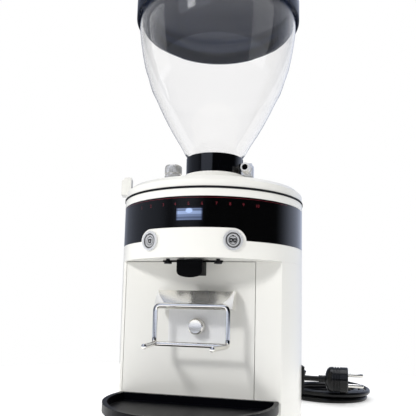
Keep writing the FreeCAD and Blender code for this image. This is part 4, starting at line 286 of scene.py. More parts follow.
def lathed(name, colour, centre, axis, roughness=0.2, metallic=1.0):
    """Turned metal with fine rings about an axis."""
    finish = Finish(name, metallic=metallic)
    steps = finish.across(finish.place(centre=centre))
    sides = [step for index, step in enumerate(steps) if index != axis]
    reach = (sides[0] * sides[0] + sides[1] * sides[1]).root()
    rings = (reach * 9000.0).sine() * 0.5 + 0.5
    worn = finish.noise(70, detail=3)
    finish.set(base_color=finish.tinted(rings, colour, 0.9),
               roughness=roughness + worn * 0.1)
    return finish.relief(rings, 0.000006, finish.soft_edge(0.0003))


def plated(name):
    """Zinc plating with a faint yellow and blue bloom."""
    finish = Finish(name, metallic=1.0)
    bloom = finish.noise(90, detail=2)
    finish.set(base_color=finish.shades(bloom, (0.55, 0.57, 0.60), (0.66, 0.62, 0.50)),
               roughness=0.24 + bloom * 0.14)
    return finish.relief(finish.noise(500), 0.00001)


def cast_metal(name):
    """Sand-cast aluminium."""
    finish = Finish(name, metallic=1.0)
    grit = finish.noise(700, detail=4, roughness=0.7)
    stain = finish.noise(25, detail=3)
    finish.set(base_color=finish.shades(stain, (0.52, 0.52, 0.52), (0.68, 0.68, 0.67)),
               roughness=0.4 + grit * 0.25)
    return finish.relief(grit, 0.00012, finish.soft_edge(0.0005))


def stacked_sheet(name):
    """Edges of electrical sheets, half a millimetre apart."""
    finish = Finish(name, metallic=1.0)
    height = finish.across(finish.place())[2]
    gaps = (height * 2000.0).part() < 0.22
    stain = finish.noise(60, detail=3)
    finish.set(base_color=finish.shades(gaps, finish.shades(stain, (0.25, 0.26, 0.29),
                                                            (0.42, 0.42, 0.43)), (0.05,) * 3),
               roughness=0.38 + stain * 0.2)
    return finish.relief(1 - gaps, 0.00008)


def wound_copper(name):
    """Rows of varnished wire laid round a ring."""
    finish = Finish(name, metallic=0.9)
    across, along, height = finish.across(finish.place())
    turns = (across.angle_to(along) * 70.0 + height * 900.0).sine() * 0.5 + 0.5
    finish.set(base_color=finish.shades(turns, (0.24, 0.07, 0.03), (0.62, 0.27, 0.12)),
               roughness=0.2 + turns * 0.12)
    return finish.relief(turns, 0.0004)


def circuit(name):
    """Solder mask over copper tracks."""
    finish = Finish(name, coat_weight=0.4)
    tracks = finish.add("ShaderNodeTexBrick", {"offset": 0.5}, {
        "Vector": finish.place((1, 1, 1)), "Color1": (1, 1, 1), "Color2": (0.6, 0.6, 0.6),
        "Mortar": (0, 0, 0), "Scale": 260.0, "Mortar Size": 0.06}, "Fac")
    finish.set(base_color=finish.shades(tracks, (0.015, 0.12, 0.05), (0.05, 0.3, 0.14)),
               roughness=0.35 + tracks * 0.1)
    return finish.relief(tracks, 0.00003)


def rubber(name, shade=0.025):
    """Moulded rubber, dusty in the hollows."""
    finish = Finish(name, specular_ior_level=0.35)
    dust = finish.noise(160, detail=5, roughness=0.7)
    finish.set(base_color=finish.shades(dust, [shade] * 3, [shade * 2.2] * 3),
               roughness=0.55 + dust * 0.25)
    return finish.relief(finish.noise(1500), 0.00003, finish.soft_edge(0.0004))


def sheath(name):
    """Smooth vinyl sheath of the lead, with slight scuffs along it."""
    finish = Finish(name, coat_weight=0.4, coat_roughness=0.06, specular_ior_level=0.1)
    scuff = finish.noise(220, detail=4, roughness=0.6)
    finish.set(base_color=finish.shades(scuff, (0.0014, 0.0014, 0.0016), (0.004, 0.004, 0.0045)),
               roughness=0.3 + scuff * 0.18)
    return finish.relief(scuff, 0.00001)


def clear_shell(name, tint, roughness, ior, shine):
    """Clear moulded plastic with faint rubbed patches."""
    finish = Finish(name, transmission_weight=1.0, ior=ior, specular_ior_level=shine)
    rub = finish.noise(18, detail=4)
    finish.set(base_color=finish.tinted(rub, tint, 0.97),
               roughness=roughness + rub * 0.03)
    return finish.relief(finish.noise(40, detail=1), 0.00002)


def lit_screen(name, middle, width, height):
    """Backlit display behind its lens: a frame line, a painted highlight at the top and paler rows
    below.
    """
    finish = Finish(name, roughness=0.08, coat_weight=0.6, emission_strength=1.0)
    across, _, up = finish.across(finish.place(centre=middle))
    side = across / (width / 2)
    level = up / (height / 2)
    inside = (side.size() < 0.95) * (level < 0.76) * (level > -0.88)
    edge = finish.rise(side.size(), 0.85, 0.88)
    rows = (0.16 + finish.rise(level, -0.44, -0.38) * 0.16 + finish.rise(level, -0.10, 0.0) * 0.30
            - finish.rise(level, 0.36, 0.44) * 0.42 + finish.rise(level, 0.54, 0.60) * 0.12
            + finish.rise(level, -0.66, -0.72) * 0.10)
    # The bright spot at the top middle, held in lamp, is a painted highlight added to the glow.
    lift = (level - 0.46) / 0.42
    spread = (side * side) / 0.1 + lift * lift
    lamp = finish.rise(spread, 1.0, 0.0)
    glow_and_painted_highlight = rows * (1 - edge * 0.55) * (1 - side * 0.18) + lamp * 0.95
    lit = finish.shades(glow_and_painted_highlight, (0.006, 0.009, 0.03), (0.50, 0.66, 1.05))
    shown = finish.shades(inside, (0.003, 0.003, 0.008), lit)
    finish.set(emission_color=shown, base_color=finish.shades(inside, (0.002,) * 3,
                                                             (0.006, 0.007, 0.012)))
    return finish


def printed_ink(name, colour):
    """Screen-printed ink, slightly broken at its edges."""
    finish = Finish(name, coat_weight=0.6, coat_roughness=0.1)
    thin = finish.noise(1800, detail=2)
    finish.set(base_color=finish.tinted(thin, colour, 0.6),
               roughness=0.3 + thin * 0.1)
    return finish


def seamless(name, shade):
    """Matt paper of the stage."""
    finish = Finish(name, specular_ior_level=0.2, emission_strength=0.36)
    fibre = finish.noise(40, detail=3)
    finish.set(base_color=finish.shades(fibre, [shade * 0.985] * 3, [shade] * 3),
               emission_color=(1, 1, 1), roughness=0.75 + fibre * 0.05)
    return finish


# Shapes


def mesh_from(outline):
    """New mesh that holds one chain of points, and what it holds."""
    mesh = bmesh.new()
    points = [mesh.verts.new(point) for point in outline]
    edges = [mesh.edges.new(pair) for pair in zip(points, points[1:])]
    return mesh, points + edges


def turned(outline, steps, closed=False):
    """Shape of revolution about Z, in metres, of (radius, height) corners in millimetres.

    An outline that isn't closed starts and ends on the axis."""
    places = [(radius * MM, 0, height * MM) for radius, height in outline]
    mesh, chain = mesh_from(places)
    if closed:
        mesh.verts.ensure_lookup_table()
        chain.append(mesh.edges.new((mesh.verts[-1], mesh.verts[0])))
    bmesh.ops.spin(mesh, geom=chain, cent=(0, 0, 0), axis=(0, 0, 1), dvec=(0, 0, 0),
                   angle=2 * math.pi, steps=steps, use_merge=True)
    tidy(mesh)
    return mesh


def tidy(mesh):
    bmesh.ops.remove_doubles(mesh, verts=mesh.verts, dist=1e-6)
    bmesh.ops.dissolve_degenerate(mesh, edges=mesh.edges, dist=1e-7)
    bmesh.ops.recalc_face_normals(mesh, faces=mesh.faces)


def round_edges(mesh, width, segments, sharp):
    """Rounds every edge whose faces turn by more than an angle in degrees."""
    limit = math.radians(sharp)
    edges = [edge for edge in mesh.edges
             if len(edge.link_faces) == 2 and edge.calc_face_angle(0) > limit]
    bmesh.ops.bevel(mesh, geom=edges, offset=width, segments=segments, profile=0.5,
                    affect="EDGES", material=-1, clamp_overlap=True)


def block(low, high, edge):
    """Box between two corners in millimetres, with its edges rounded by metres."""
    mesh = bmesh.new()
    bmesh.ops.create_cube(mesh, size=1)
    size = [(b - a) * MM for a, b in zip(low, high)]
    middle = [(a + b) / 2 * MM for a, b in zip(low, high)]
    bmesh.ops.scale(mesh, vec=size, verts=mesh.verts)
    bmesh.ops.translate(mesh, vec=middle, verts=mesh.verts)
    round_edges(mesh, edge, 2, 32)
    return mesh


def slab(corners, push):
    """Flat outline of corners that is made thick by a push, both in metres."""
    mesh = bmesh.new()
    front = mesh.faces.new([mesh.verts.new(corner) for corner in corners])
    grown = bmesh.ops.extrude_face_region(mesh, geom=[front])
    bmesh.ops.translate(mesh, vec=push,
                        verts=[part for part in grown["geom"]
                               if isinstance(part, bmesh.types.BMVert)])
    bmesh.ops.recalc_face_normals(mesh, faces=mesh.faces)
    return mesh


def move(mesh, matrix):
    bmesh.ops.transform(mesh, matrix=matrix, verts=mesh.verts)
    return mesh


def joined(*meshes):
    """One mesh that holds several."""
    whole = bmesh.new()
    for mesh in meshes:
        data = bpy.data.meshes.new("part")
        mesh.to_mesh(data)
        mesh.free()
        whole.from_mesh(data)
        bpy.data.meshes.remove(data)
    return whole


def aim(direction, spot):
    """Matrix that lays +Z along a direction and puts the origin at a spot in millimetres.

    The direction isn't upright."""
    ahead = Vector(direction).normalized()
    side = Vector((0, 0, 1)).cross(ahead).normalized()
    over = ahead.cross(side)
    turn = Matrix((side, over, ahead)).transposed().to_4x4()
    return Matrix.Translation(Vector(spot) * MM) @ turn


def around(angle):
    """Direction in the level plane at an angle in degrees from the front, +X positive."""
    turn = math.radians(angle)
    return Vector((math.sin(turn), -math.cos(turn), 0))


def piece(name, mesh, finish, body, replaces=(), sharp=35):
    """New visible piece that rides on a body of the part."""
    data = bpy.data.meshes.new(name)
    mesh.to_mesh(data)
    mesh.free()
    data.polygons.foreach_set("use_smooth", [True] * len(data.polygons))
    data.set_sharp_from_angle(angle=math.radians(sharp))
    made = bpy.data.objects.new(name, data)
    bpy.context.scene.collection.objects.link(made)
    data.materials.append(finish.material)
    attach(made, body)
    if replaces:
        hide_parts(*replaces)
    return made


def round_curve(name, kind, route, radius, fineness):
    """Curve with a round section along places in metres."""
    curve = bpy.data.curves.new(name, "CURVE")
    curve.dimensions = "3D"
    curve.bevel_depth = radius
    curve.bevel_resolution = fineness
    curve.use_fill_caps = True
    spline = curve.splines.new(kind)
    spline.points.add(len(route) - 1)
    for point, place in zip(spline.points, route):
        point.co = (*place, 1)
    return curve


def baked(curve):
    """Mesh of a curve."""
    holder = bpy.data.objects.new("curve", curve)
    bpy.context.scene.collection.objects.link(holder)
    bpy.context.view_layer.update()
    data = bpy.data.meshes.new_from_object(
        holder.evaluated_get(bpy.context.evaluated_depsgraph_get()))
    mesh = bmesh.new()
    mesh.from_mesh(data)
    bpy.data.objects.remove(holder)
    bpy.data.meshes.remove(data)
    return mesh


def wire(points, radius, bend=0.0):
    """Mesh of a round wire along points in millimetres, with its corners bent."""
    route = []
    for index, point in enumerate(points):
        here = Vector(point) * MM
        if bend and 0 < index < len(points) - 1:
            back = (Vector(points[index - 1]) * MM - here).normalized()
            ahead = (Vector(points[index + 1]) * MM - here).normalized()
            for step in range(9):
                share = step / 8
                near = here + back * bend * MM
                far = here + ahead * bend * MM
                route.append(near * (1 - share) ** 2 + here * 2 * share * (1 - share)
                             + far * share ** 2)
        else:
            route.append(here)
    mesh = baked(round_curve("wire", "POLY", route, radius * MM, 4))
    tidy(mesh)
    return mesh


def lettering(text, height, depth):
    """Mesh of a short figure, in the level plane about the origin, in millimetres."""
    curve = bpy.data.curves.new("figure", "FONT")
    curve.body = text
    curve.size = height * MM
    curve.extrude = depth / 2 * MM
    curve.align_x = "CENTER"
    curve.align_y = "CENTER"
    curve.resolution_u = 3
    return baked(curve)


def skin_of(node):
    """Search tree over a node's own faces."""
    mesh = bmesh.new()
    mesh.from_mesh(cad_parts[node].data)
    tree = BVHTree.FromBMesh(mesh)
    mesh.free()
    return tree


# Settings that a user would change


def colour_setting(name, description, default):
    return FloatVectorProperty(name=name, description=description, default=default,
                               subtype="COLOR", size=3, min=0, max=1)


class GrinderFinishes(bpy.types.PropertyGroup):
    """Colours of the machine."""

    paint: colour_setting("Housing paint", "Enamel of the housing, base and grind ring",
                          (0.86, 0.85, 0.805))
    ink: colour_setting("Scale ink", "Printed figures of the grind scale", (0.17, 0.008, 0.016))
    hopper_tint: colour_setting("Hopper tint", "Colour of the clear hopper",
                                (0.985, 0.982, 0.98))
    lid_tint: colour_setting("Lid tint", "Colour of the smoked lid", (0.013, 0.017, 0.032))


class GrinderSizes(bpy.types.PropertyGroup):
    """Sizes of what is added to the solids."""

    cord_diameter: FloatProperty(
        name="Lead diameter", description="Outside of the mains lead", unit="LENGTH",
        subtype="DISTANCE", default=0.0066, min=0.004, max=0.01)
    figure_height: FloatProperty(
        name="Figure height", description="Height of the scale's figures, in millimetres",
        default=4.3, min=1, max=8)
    knurl_ridges: IntProperty(
        name="Knurl ridges", description="Ridges round a knurled knob",
        default=44, min=12, max=90)
    lens: FloatProperty(
        name="Lens", description="Focal length of the camera", unit="CAMERA",
        default=45.28, min=10, max=200)


# Pieces


class GRINDER_OT_camera(bpy.types.Operator):
    """Camera where the photographer stood"""

    bl_idname = "grinder.camera"
    bl_label = "Camera"

    def execute(self, context):
        settings = bpy.data.cameras.new("camera")
        settings.lens = context.scene.grinder_sizes.lens
        settings.sensor_width = 36
        settings.shift_y = 0.101
        settings.clip_start = 0.01
        settings.clip_end = 50
        camera = bpy.data.objects.new("camera", settings)
        context.scene.collection.objects.link(camera)
        turn, yaw = math.radians(13.78), math.radians(0.53)
        pitch, roll = math.radians(6.32), math.radians(1.36)
        away, eye_height = 0.5782, 0.1185
        heading = turn + yaw
        ahead = Vector((-math.sin(heading) * math.cos(pitch),
                        math.cos(heading) * math.cos(pitch), math.sin(pitch)))
        level = Vector((math.cos(heading), math.sin(heading), 0))
        over = level.cross(ahead)
        right = level * math.cos(roll) + over * math.sin(roll)
        above = -level * math.sin(roll) + over * math.cos(roll)
        place = Matrix((right, above, -ahead)).transposed().to_4x4()
        place.translation = (away * math.sin(turn), -away * math.cos(turn), eye_height)
        camera.matrix_world = place
        context.scene.camera = camera
        return {"FINISHED"}


class GRINDER_OT_lead(bpy.types.Operator):
    """Mains lead in a coil behind the machine, its plug and its strain relief"""

    bl_idname = "grinder.lead"
    bl_label = "Mains lead"

    def execute(self, context):
        diameter = context.scene.grinder_sizes.cord_diameter
        tip = (-0.043, 0.17848, 0.018)
        route = [
            tip,
            (-0.06246, 0.21219, 0.018),
            (-0.05899, 0.25195, 0.0122),
            (-0.03334, 0.28252, 0.0064),
            (0.00521, 0.29284, 0.0035),
            (0.04271, 0.2792, 0.0035),
            (0.0656, 0.24651, 0.0035),
        ]
        centre, outer, step, floor, layer = (0.119, 0.2), 0.0534, 0.0037, 0.0035, 0.0074
        # Half turns after which the coil climbs, lies on its first layer, lifts off and ends
        climbs, rests, lifts, ends = 4, 5, 9, 10
        per_half = 8
        swell = 1 / math.cos(math.pi / per_half / 2)
        inner = outer - climbs * step
        for index in range(2, ends * per_half):
            turns = index / per_half
            if turns <= climbs:
                radius, height = outer - step * turns, floor
            elif turns <= rests:
                share = turns - climbs
                radius = inner - 0.0014 * math.sin(math.pi * share)
                height = floor + layer * (1 - math.cos(math.pi * share)) / 2
            elif turns <= lifts:
                radius, height = inner + step * (turns - rests), floor + layer
            else:
                share = turns - lifts
                radius = outer + 0.0016
                height = floor + layer + 0.015 * share ** 1.6
            angle = math.pi * (1 + turns)
            route.append((centre[0] + radius * swell * math.cos(angle),
                          centre[1] + radius * swell * math.sin(angle), height))
        route += [
            (0.064, 0.18092, 0.02772),
            (0.06783, 0.16903, 0.02842),
            (0.07511, 0.15891, 0.02911),
            (0.08513, 0.15156, 0.02981),
            (0.09691, 0.1477, 0.0305),
            (0.1093, 0.1477, 0.0305),
        ]
        curve = round_curve("mains_lead", "NURBS", route, diameter / 2, 5)
        curve.resolution_u = 6
        curve.splines[0].order_u = 3
        curve.splines[0].use_endpoint_u = True
        lead = bpy.data.objects.new("mains_lead", curve)
        context.scene.collection.objects.link(lead)
        vinyl = sheath("lead_vinyl")
        curve.materials.append(vinyl.material)
        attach(lead, "housing")
        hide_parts("mains_cord", "cord_coil", "cord_tail")

        plug = self.plug(vinyl)
        self.relief(vinyl)
        return {"FINISHED"}

    def plug(self, vinyl):
        """Round moulded plug with a ribbed neck and two pins."""
        neck = [(0, 0), (4.2, 0)]
        for ridge in range(4):
            low = 0.8 + ridge * 2.1
            neck += [(4.9, low), (4.9, low + 1.1), (4.1, low + 1.3), (4.1, low + 1.9)]
        body = neck + [(6.5, 8.7), (9.5, 9.4), (13.2, 11.2), (15.4, 13.6), (16, 16.0)]
        for groove in range(3):
            low = 19.0 + groove * 3.2
            body += [(16, low), (15.2, low + 0.4), (15.2, low + 1.2), (16, low + 1.6)]
        body += [(16, 35.8), (15.4, 36.6), (14.2, 37.0), (6.0, 37.0), (5.6, 36.2), (0, 36.2)]
        along, height = 147.7, 30.5
        lay = aim((1, 0, 0), (109.3, along, height))
        plug = piece("plug_body", move(turned(body, 64), lay), vinyl, "housing",
                     replaces=("mains_plug",))
        roll, apart = math.radians(53), 9.5
        bright = polished("pin_nickel", (0.75, 0.73, 0.68), 0.14)
        self.pins = []
        for index, side in enumerate((1, -1)):
            spot = (146.3, along + side * apart * math.sin(roll),
                    height + side * apart * math.cos(roll))
            rod = turned([(0, -1), (2.4, -1), (2.4, 17.6), (1.9, 18.6), (0.9, 19), (0, 19)], 24)
            self.pins.append(piece("plug_pin_%d" % (index + 1), move(rod, aim((1, 0, 0), spot)),
                                   bright, "housing"))
        return plug

    def relief(self, vinyl):
        """Tapered, slotted strain relief on the rear of the base."""
        outline = [(0, -5), (6.5, -5), (6.5, 0.3), (8.5, 0.3), (8.5, 2.4), (7.9, 3.0), (5.6, 3.2)]
        for rib in range(6):
            low = 4.4 + rib * 3.5
            wide = 5.0 - rib * 0.13
            outline += [(wide, low), (wide, low + 1.9), (wide - 0.9, low + 2.2),
                        (wide - 0.9, low + 3.2)]
        outline += [(4.3, 26.4), (4.2, 27.6), (3.6, 28.0), (0, 28.0)]
        heading = Vector((-0.5, math.sqrt(0.75), 0))
        spot = Vector((0, 104, 18)) + heading * 58
        mesh = move(turned(outline, 48), aim(heading, spot))
        piece("strain_relief", mesh, vinyl, "housing", replaces=("cable_gland",))


class GRINDER_OT_hopper(bpy.types.Operator):
    """Clear bean hopper and its smoked lid"""

    bl_idname = "grinder.hopper"
    bl_label = "Hopper and lid"

    def execute(self, context):
        colours = context.scene.grinder_finishes
        side = [(28.6, 264.0), (28.6, 284.6), (30.4, 285.9), (35.1, 292.8), (40.0, 302.0),
                (45.4, 310.6), (50.4, 318.9), (55.7, 328.4), (60.6, 338.1), (64.3, 345.6),
                (67.6, 352.9), (70.9, 359.3), (73.9, 365.3), (76.4, 372.5), (78.6, 380.1),
                (80.8, 386.2), (82.8, 392.7), (85.5, 405.5), (87.8, 419.3), (89.2, 430.0),
                (90.1, 444.0), (90.5, 453.9), (90.2, 454.7), (89.3, 455.0)]
        wall = [(88.4, 454.8), (88.0, 453.9), (87.6, 444.0)]
        wall += [(radius - 2.5, height + 0.6) for radius, height in reversed(side[3:20])]
        wall += [(27.3, 286.3), (26.1, 284.6), (26.1, 264.0)]
        bowl = clear_shell("hopper_plastic", colours.hopper_tint, 0.012, 1.35, 0.15)
        piece("hopper_shell", turned(side + wall, 160, closed=True), bowl, "hopper",
              replaces=("hopper_bowl",), sharp=50)

        smoke = clear_shell("lid_plastic", colours.lid_tint, 0.05, 1.33, 0.06)
        outline = [(0, 468.2), (60.0, 468.4), (90.6, 468.4), (92.2, 468.0), (93.2, 467.0),
                   (93.5, 465.6), (93.5, 445.2), (93.2, 444.6), (92.6, 444.4), (91.6, 444.5),
                   (91.2, 445.2), (91.2, 455.4), (84.4, 455.4), (84.4, 440.4), (84.0, 439.8),
                   (83.2, 439.6), (82.4, 439.8), (82.1, 440.6), (82.1, 465.4), (81.4, 466.1),
                   (0, 466.1)]
        piece("lid_shell", turned(outline, 160), smoke, "lid",
              replaces=("hopper_lid",), sharp=50)
        return {"FINISHED"}


class GRINDER_OT_controls(bpy.types.Operator):
    """Push buttons, printed scale and switch marks"""

    bl_idname = "grinder.controls"
    bl_label = "Controls"

    def execute(self, context):
        self.scale(context)
        self.buttons()
        self.switch_marks()
        return {"FINISHED"}

    def scale(self, context):
        """Red figures and a thin line round the top of the black band."""
        ink = printed_ink("scale_ink", context.scene.grinder_finishes.ink)
        tall = context.scene.grinder_sizes.figure_height
        angles = (-33.5, -25.3, -16, -8.4, -0.4, 7.2, 15.2, 22.8, 30.4, 39)
        for number, angle in enumerate(angles, 1):
            outward = around(angle)
            mesh = lettering(str(number), tall, 0.08)
            place = aim(outward, outward * 97.43 + Vector((0, 0, 215.7)))
            piece("scale_figure_%02d" % number, move(mesh, place), ink, "housing")
        reach = math.radians(62)
        strip, chain = mesh_from([(0, -0.09746, 0.2214), (0, -0.09746, 0.2217)])
        bmesh.ops.rotate(strip, cent=(0, 0, 0), verts=strip.verts,
                         matrix=Matrix.Rotation(-reach, 3, "Z"))
        bmesh.ops.spin(strip, geom=chain, cent=(0, 0, 0), axis=(0, 0, 1), dvec=(0, 0, 0),
                       angle=2 * reach, steps=120, use_merge=False)
        bmesh.ops.solidify(strip, geom=strip.faces[:] + strip.edges[:] + strip.verts[:],
                           thickness=0.00006)
        bmesh.ops.recalc_face_normals(strip, faces=strip.faces)
        piece("scale_line", strip, ink, "housing")

    def buttons(self):
        """Bright caps with a ring groove, dark cups and a small lamp."""
        turn = math.radians(BUTTON_TURN)
        bright = ringed("button_steel", (0.62, 0.62, 0.62), turn, BUTTON_HEIGHT * MM,
                        [(0.0040, 0.0006, 0.8), (0.0064, 0.0008, 0.9)])
        dark = grained_plastic("lamp_lens", (0.003, 0.003, 0.004), roughness=0.6, shine=0.02)
        for sign, body, node in ((1, "right_button", "button_right"),
                                 (-1, "left_button", "button_left")):
            outward = around(sign * BUTTON_TURN)
            lay = aim(outward, outward * 85.85 + Vector((0, 0, BUTTON_HEIGHT)))
            outline = [(0, 0), (7.0, 0), (7.0, 12.2), (6.8, 12.75), (6.3, 13.0), (5.7, 12.9),
                       (5.5, 12.45), (5.1, 12.3), (4.8, 12.5), (0, 12.25)]
            cap = turned(outline, 64)
            piece(node + "_cap", move(cap, lay), bright, body, replaces=(node,))
            cup = self.cup_marks(2 if sign > 0 else 1)
            piece(node + "_mark", move(cup, lay), dark, body)
            lamp = turned([(0, 12.0), (0.8, 12.0), (0.8, 12.6), (0.6, 12.75), (0, 12.8)], 20)
            bmesh.ops.translate(lamp, vec=(0, 4.15 * MM, 0), verts=lamp.verts)
            piece(node + "_lamp", move(lamp, lay), dark, body)

    def cup_marks(self, cups):
        """Outlines of one or two cups, raised from the cap."""
        marks = []
        for index in range(cups):
            shift = (index - (cups - 1) / 2) * 3.6
            wide = 1.2 if cups == 2 else 1.7
            rim = [(shift - wide, 1.3), (shift + wide, 1.3), (shift + wide * 0.7, -1.7),
                   (shift - wide * 0.7, -1.7), (shift - wide, 1.3)]
            for (x0, y0), (x1, y1) in zip(rim, rim[1:]):
                marks.append(wire([(x0, y0, 12.5), (x1, y1, 12.5)], 0.5))
        return joined(*marks)

    def switch_marks(self):
        """White I and O on the two ends of the rocker."""
        white = printed_ink("switch_ink", (0.8, 0.8, 0.78))
        skin = skin_of("power_rocker")
        outward = around(102)
        for name, text, height in (("switch_mark_on", "I", 50.0), ("switch_mark_off", "O", 39.5)):
            start = outward * 120 + Vector((0, 0, height))
            spot, direction, _, _ = skin.ray_cast(start * MM, -outward)
            if spot is None:
                raise RuntimeError("the rocker isn't where its marks go")
            mesh = lettering(text, 3.6, 0.1)
            place = aim(direction, spot / MM)
            piece(name, move(mesh, place), white, "power_switch")


class GRINDER_OT_holder(bpy.types.Operator):
    """Portafilter wire, cheeks of the rest plate, clamp knob and lock knob"""

    bl_idname = "grinder.holder"
    bl_label = "Holder and knobs"

    def execute(self, context):
        bright = polished("wire_plating", (0.78, 0.76, 0.72), 0.07)
        loop = wire([(-31, -121.2, 83.4), (-36, -80.4, 83.4), (-36, -80.4, 120.3),
                     (36, -80.4, 120.3), (36, -80.4, 83.4), (31, -121.2, 83.4)], 2.4, 6)
        bar = wire([(-36, -80.4, 83.4), (36, -80.4, 83.4)], 2.2)
        piece("wire_loop", joined(loop, bar, *self.wire_ends()), bright, "holder",
              replaces=("wire_fork",))
        wings = joined(*[self.wing(side) for side in (1, -1)])
        piece("rest_wings", wings, satin("wing_satin", (0.95, 0.94, 0.92), 0.35, 0.2), "holder")

        steel = lathed("knob_steel", (0.87, 0.85, 0.81), (0, 0, 0.1002), 1, 0.2, 0.75)
        outline = [(0, -9.4), (2.9, -9.4), (2.9, 0), (7.2, 0), (7.6, 0.5), (7.6, 2.2), (8.0, 2.6),
                   (8.0, 9.2), (7.6, 9.7), (7.6, 10.6), (7.1, 11.3), (6.4, 11.7), (5.9, 11.6),
                   (0, 10.9)]
        knob = move(self.knurled(outline, 7.9, 0.3), aim((0, -1, 0), (0, -54.3, 100.2)))
        piece("clamp_grip", knob, steel, "holder_clamp", replaces=("clamp_knob",))

        outline = [(0, 236.4), (3, 236.4), (3, 244.6), (3, 245.4), (8.2, 245.4), (8.6, 245.9),
                   (8.8, 246.6), (8.8, 252.2), (7.9, 252.7), (7.9, 254.0), (8.8, 254.5),
                   (8.8, 261.0), (8.4, 262.0), (7.6, 263.0), (6.4, 263.4), (0, 263.1)]
        middle = (-0.029, -0.06, 0)
        knob = move(self.knurled(outline, 8.7, 0.35), Matrix.Translation(middle))
        steel = lathed("lock_steel", (0.83, 0.81, 0.77), middle, 2, 0.2, 0.7)
        piece("lock_grip", knob, steel, "lock", replaces=("lock_knob",))
        return {"FINISHED"}

    def wing(self, side):
        """Curved cheek that lies on one end of the sloping rest plate."""
        top = Vector((0, -66, 135.2))
        along = Vector((0, -11.4, -18.2)).normalized()
        outward = Vector((0, -18.2, 11.4)).normalized()
        outline = [(39, 0.2), (38.2, 0.4), (36.9, 4), (34.8, 8), (32, 12), (29, 16), (27.2, 19),
                   (26.4, 21.4), (39, 21.4)]
        corners = []
        for across, down in outline:
            lift = 0.1 + (39 - across) * 0.14
            spot = top + along * down + outward * lift + Vector((across * side, 0, 0))
            corners.append(spot * MM)
        sheet = slab(corners, outward * MM)
        round_edges(sheet, 0.0003, 2, 60)
        return sheet

    def wire_ends(self):
        """Rounded ends of the two prongs."""
        ends = []
        for side in (1, -1):
            end = turned([(0, -0.4), (2.4, -0.4), (2.3, 0.2), (1.7, 0.6), (0, 0.8)], 16)
            ahead = Vector((-side * 5, -41.6, 0))
            ends.append(move(end, aim(ahead, (side * 31, -121.2, 83.4))))
        return ends

    def knurled(self, outline, outside, depth):
        """Shape of revolution with straight flutes in what lies outside a radius."""
        ridges = bpy.context.scene.grinder_sizes.knurl_ridges
        mesh = turned(outline, ridges * 4)
        for vertex in mesh.verts:
            reach = Vector((vertex.co.x, vertex.co.y, 0))
            if reach.length > outside * MM:
                wave = math.cos(math.atan2(reach.y, reach.x) * ridges)
                vertex.co -= reach.normalized() * (depth * MM * (1 - wave) / 2)
        return mesh


class GRINDER_OT_details(bpy.types.Operator):
    """Felt seal under the grind ring, hood of the spout and bolt of the collar"""

    bl_idname = "grinder.details"
    bl_label = "Seal, spout and bolt"

    def execute(self, context):
        self.seal()
        self.hood()
        self.bolt()
        return {"FINISHED"}

    def seal(self):
        """Felt ring in the gap, with a lip that lies over both its edges."""
        outline = [(91.0, 231.05), (97.0, 231.05), (97.6, 230.5), (98.1, 230.7), (98.1, 232.6),
                   (97.6, 232.8), (97.0, 232.25), (91.0, 232.25)]
        felt = rubber("seal_felt", 0.0015)
        piece("drum_seal", turned(outline, 160, closed=True), felt, "housing")

    def hood(self):
        """Front shield with a rounded foot, a square chute behind it and two ears."""
        half = [(12.6, 163.6), (12.6, 152.6), (12.1, 150.6), (10.6, 148.9), (8.4, 147.8),
                (4.4, 146.9)]
        outline = half + [(0, 146.6)] + [(-across, height) for across, height in reversed(half)]
        shield = slab([(across * MM, -92 * MM, height * MM) for across, height in outline],
                      (0, 3.3 * MM, 0))
        round_edges(shield, 0.0009, 3, 60)
        low, top, back = 149.6, 163.6, -67.6
        walls = [block((left, -89.2, low), (left + 1.5, back, top), 0.0004)
                 for left in (-10.6, 9.1)]
        walls.append(block((-10.6, -69.2, low), (10.6, back, top), 0.0004))
        ears = [block((left, -82.0, 161.9), (left + 20.4, -78.0, 163.7), 0.0006)
                for left in (-29.8, 9.4)]
        black = grained_plastic("spout_black", (0.0007, 0.0007, 0.0008), roughness=0.5,
                                shine=0.06)
        piece("spout_hood", joined(shield, *walls, *ears), black, "housing",
              replaces=("spout_housing",))

    def bolt(self):
        """Socket-head bolt of the collar, with its washer."""
        lay = aim((0, -1, 0), (38.2, -8.6, 270.2))
        outline = [(0, -20.5), (2.9, -20.5), (2.9, 0), (4.4, 0), (4.9, 0.5), (4.9, 11.4),
                   (4.5, 12.0), (3.4, 12.0), (3.2, 11.8), (3.2, 6.4), (0, 6.0)]
        washer = [(2.9, -0.9), (5.6, -0.9), (5.8, -0.7), (5.8, -0.1), (5.6, 0.05), (2.9, 0.05)]
        steel = satin("bolt_steel", (0.88, 0.86, 0.83), 0.45, 0.22)
        mesh = joined(turned(outline, 48), turned(washer, 48, closed=True))
        piece("collar_bolt", move(mesh, lay), steel, "collar_clamp",
              replaces=("collar_screw",))
        # A near-black lining inside the bolt's socket is painted shade for the shadowed hole.
        socket = turned([(0, 6.0), (3.05, 6.4), (3.05, 10.8), (2.9, 10.9), (2.9, 6.6), (0, 6.3)], 6)
        dark = grained_plastic("socket_dark", (0.004, 0.004, 0.005), roughness=0.5, shine=0.1)
        piece("collar_socket", move(socket, lay), dark, "collar_clamp")


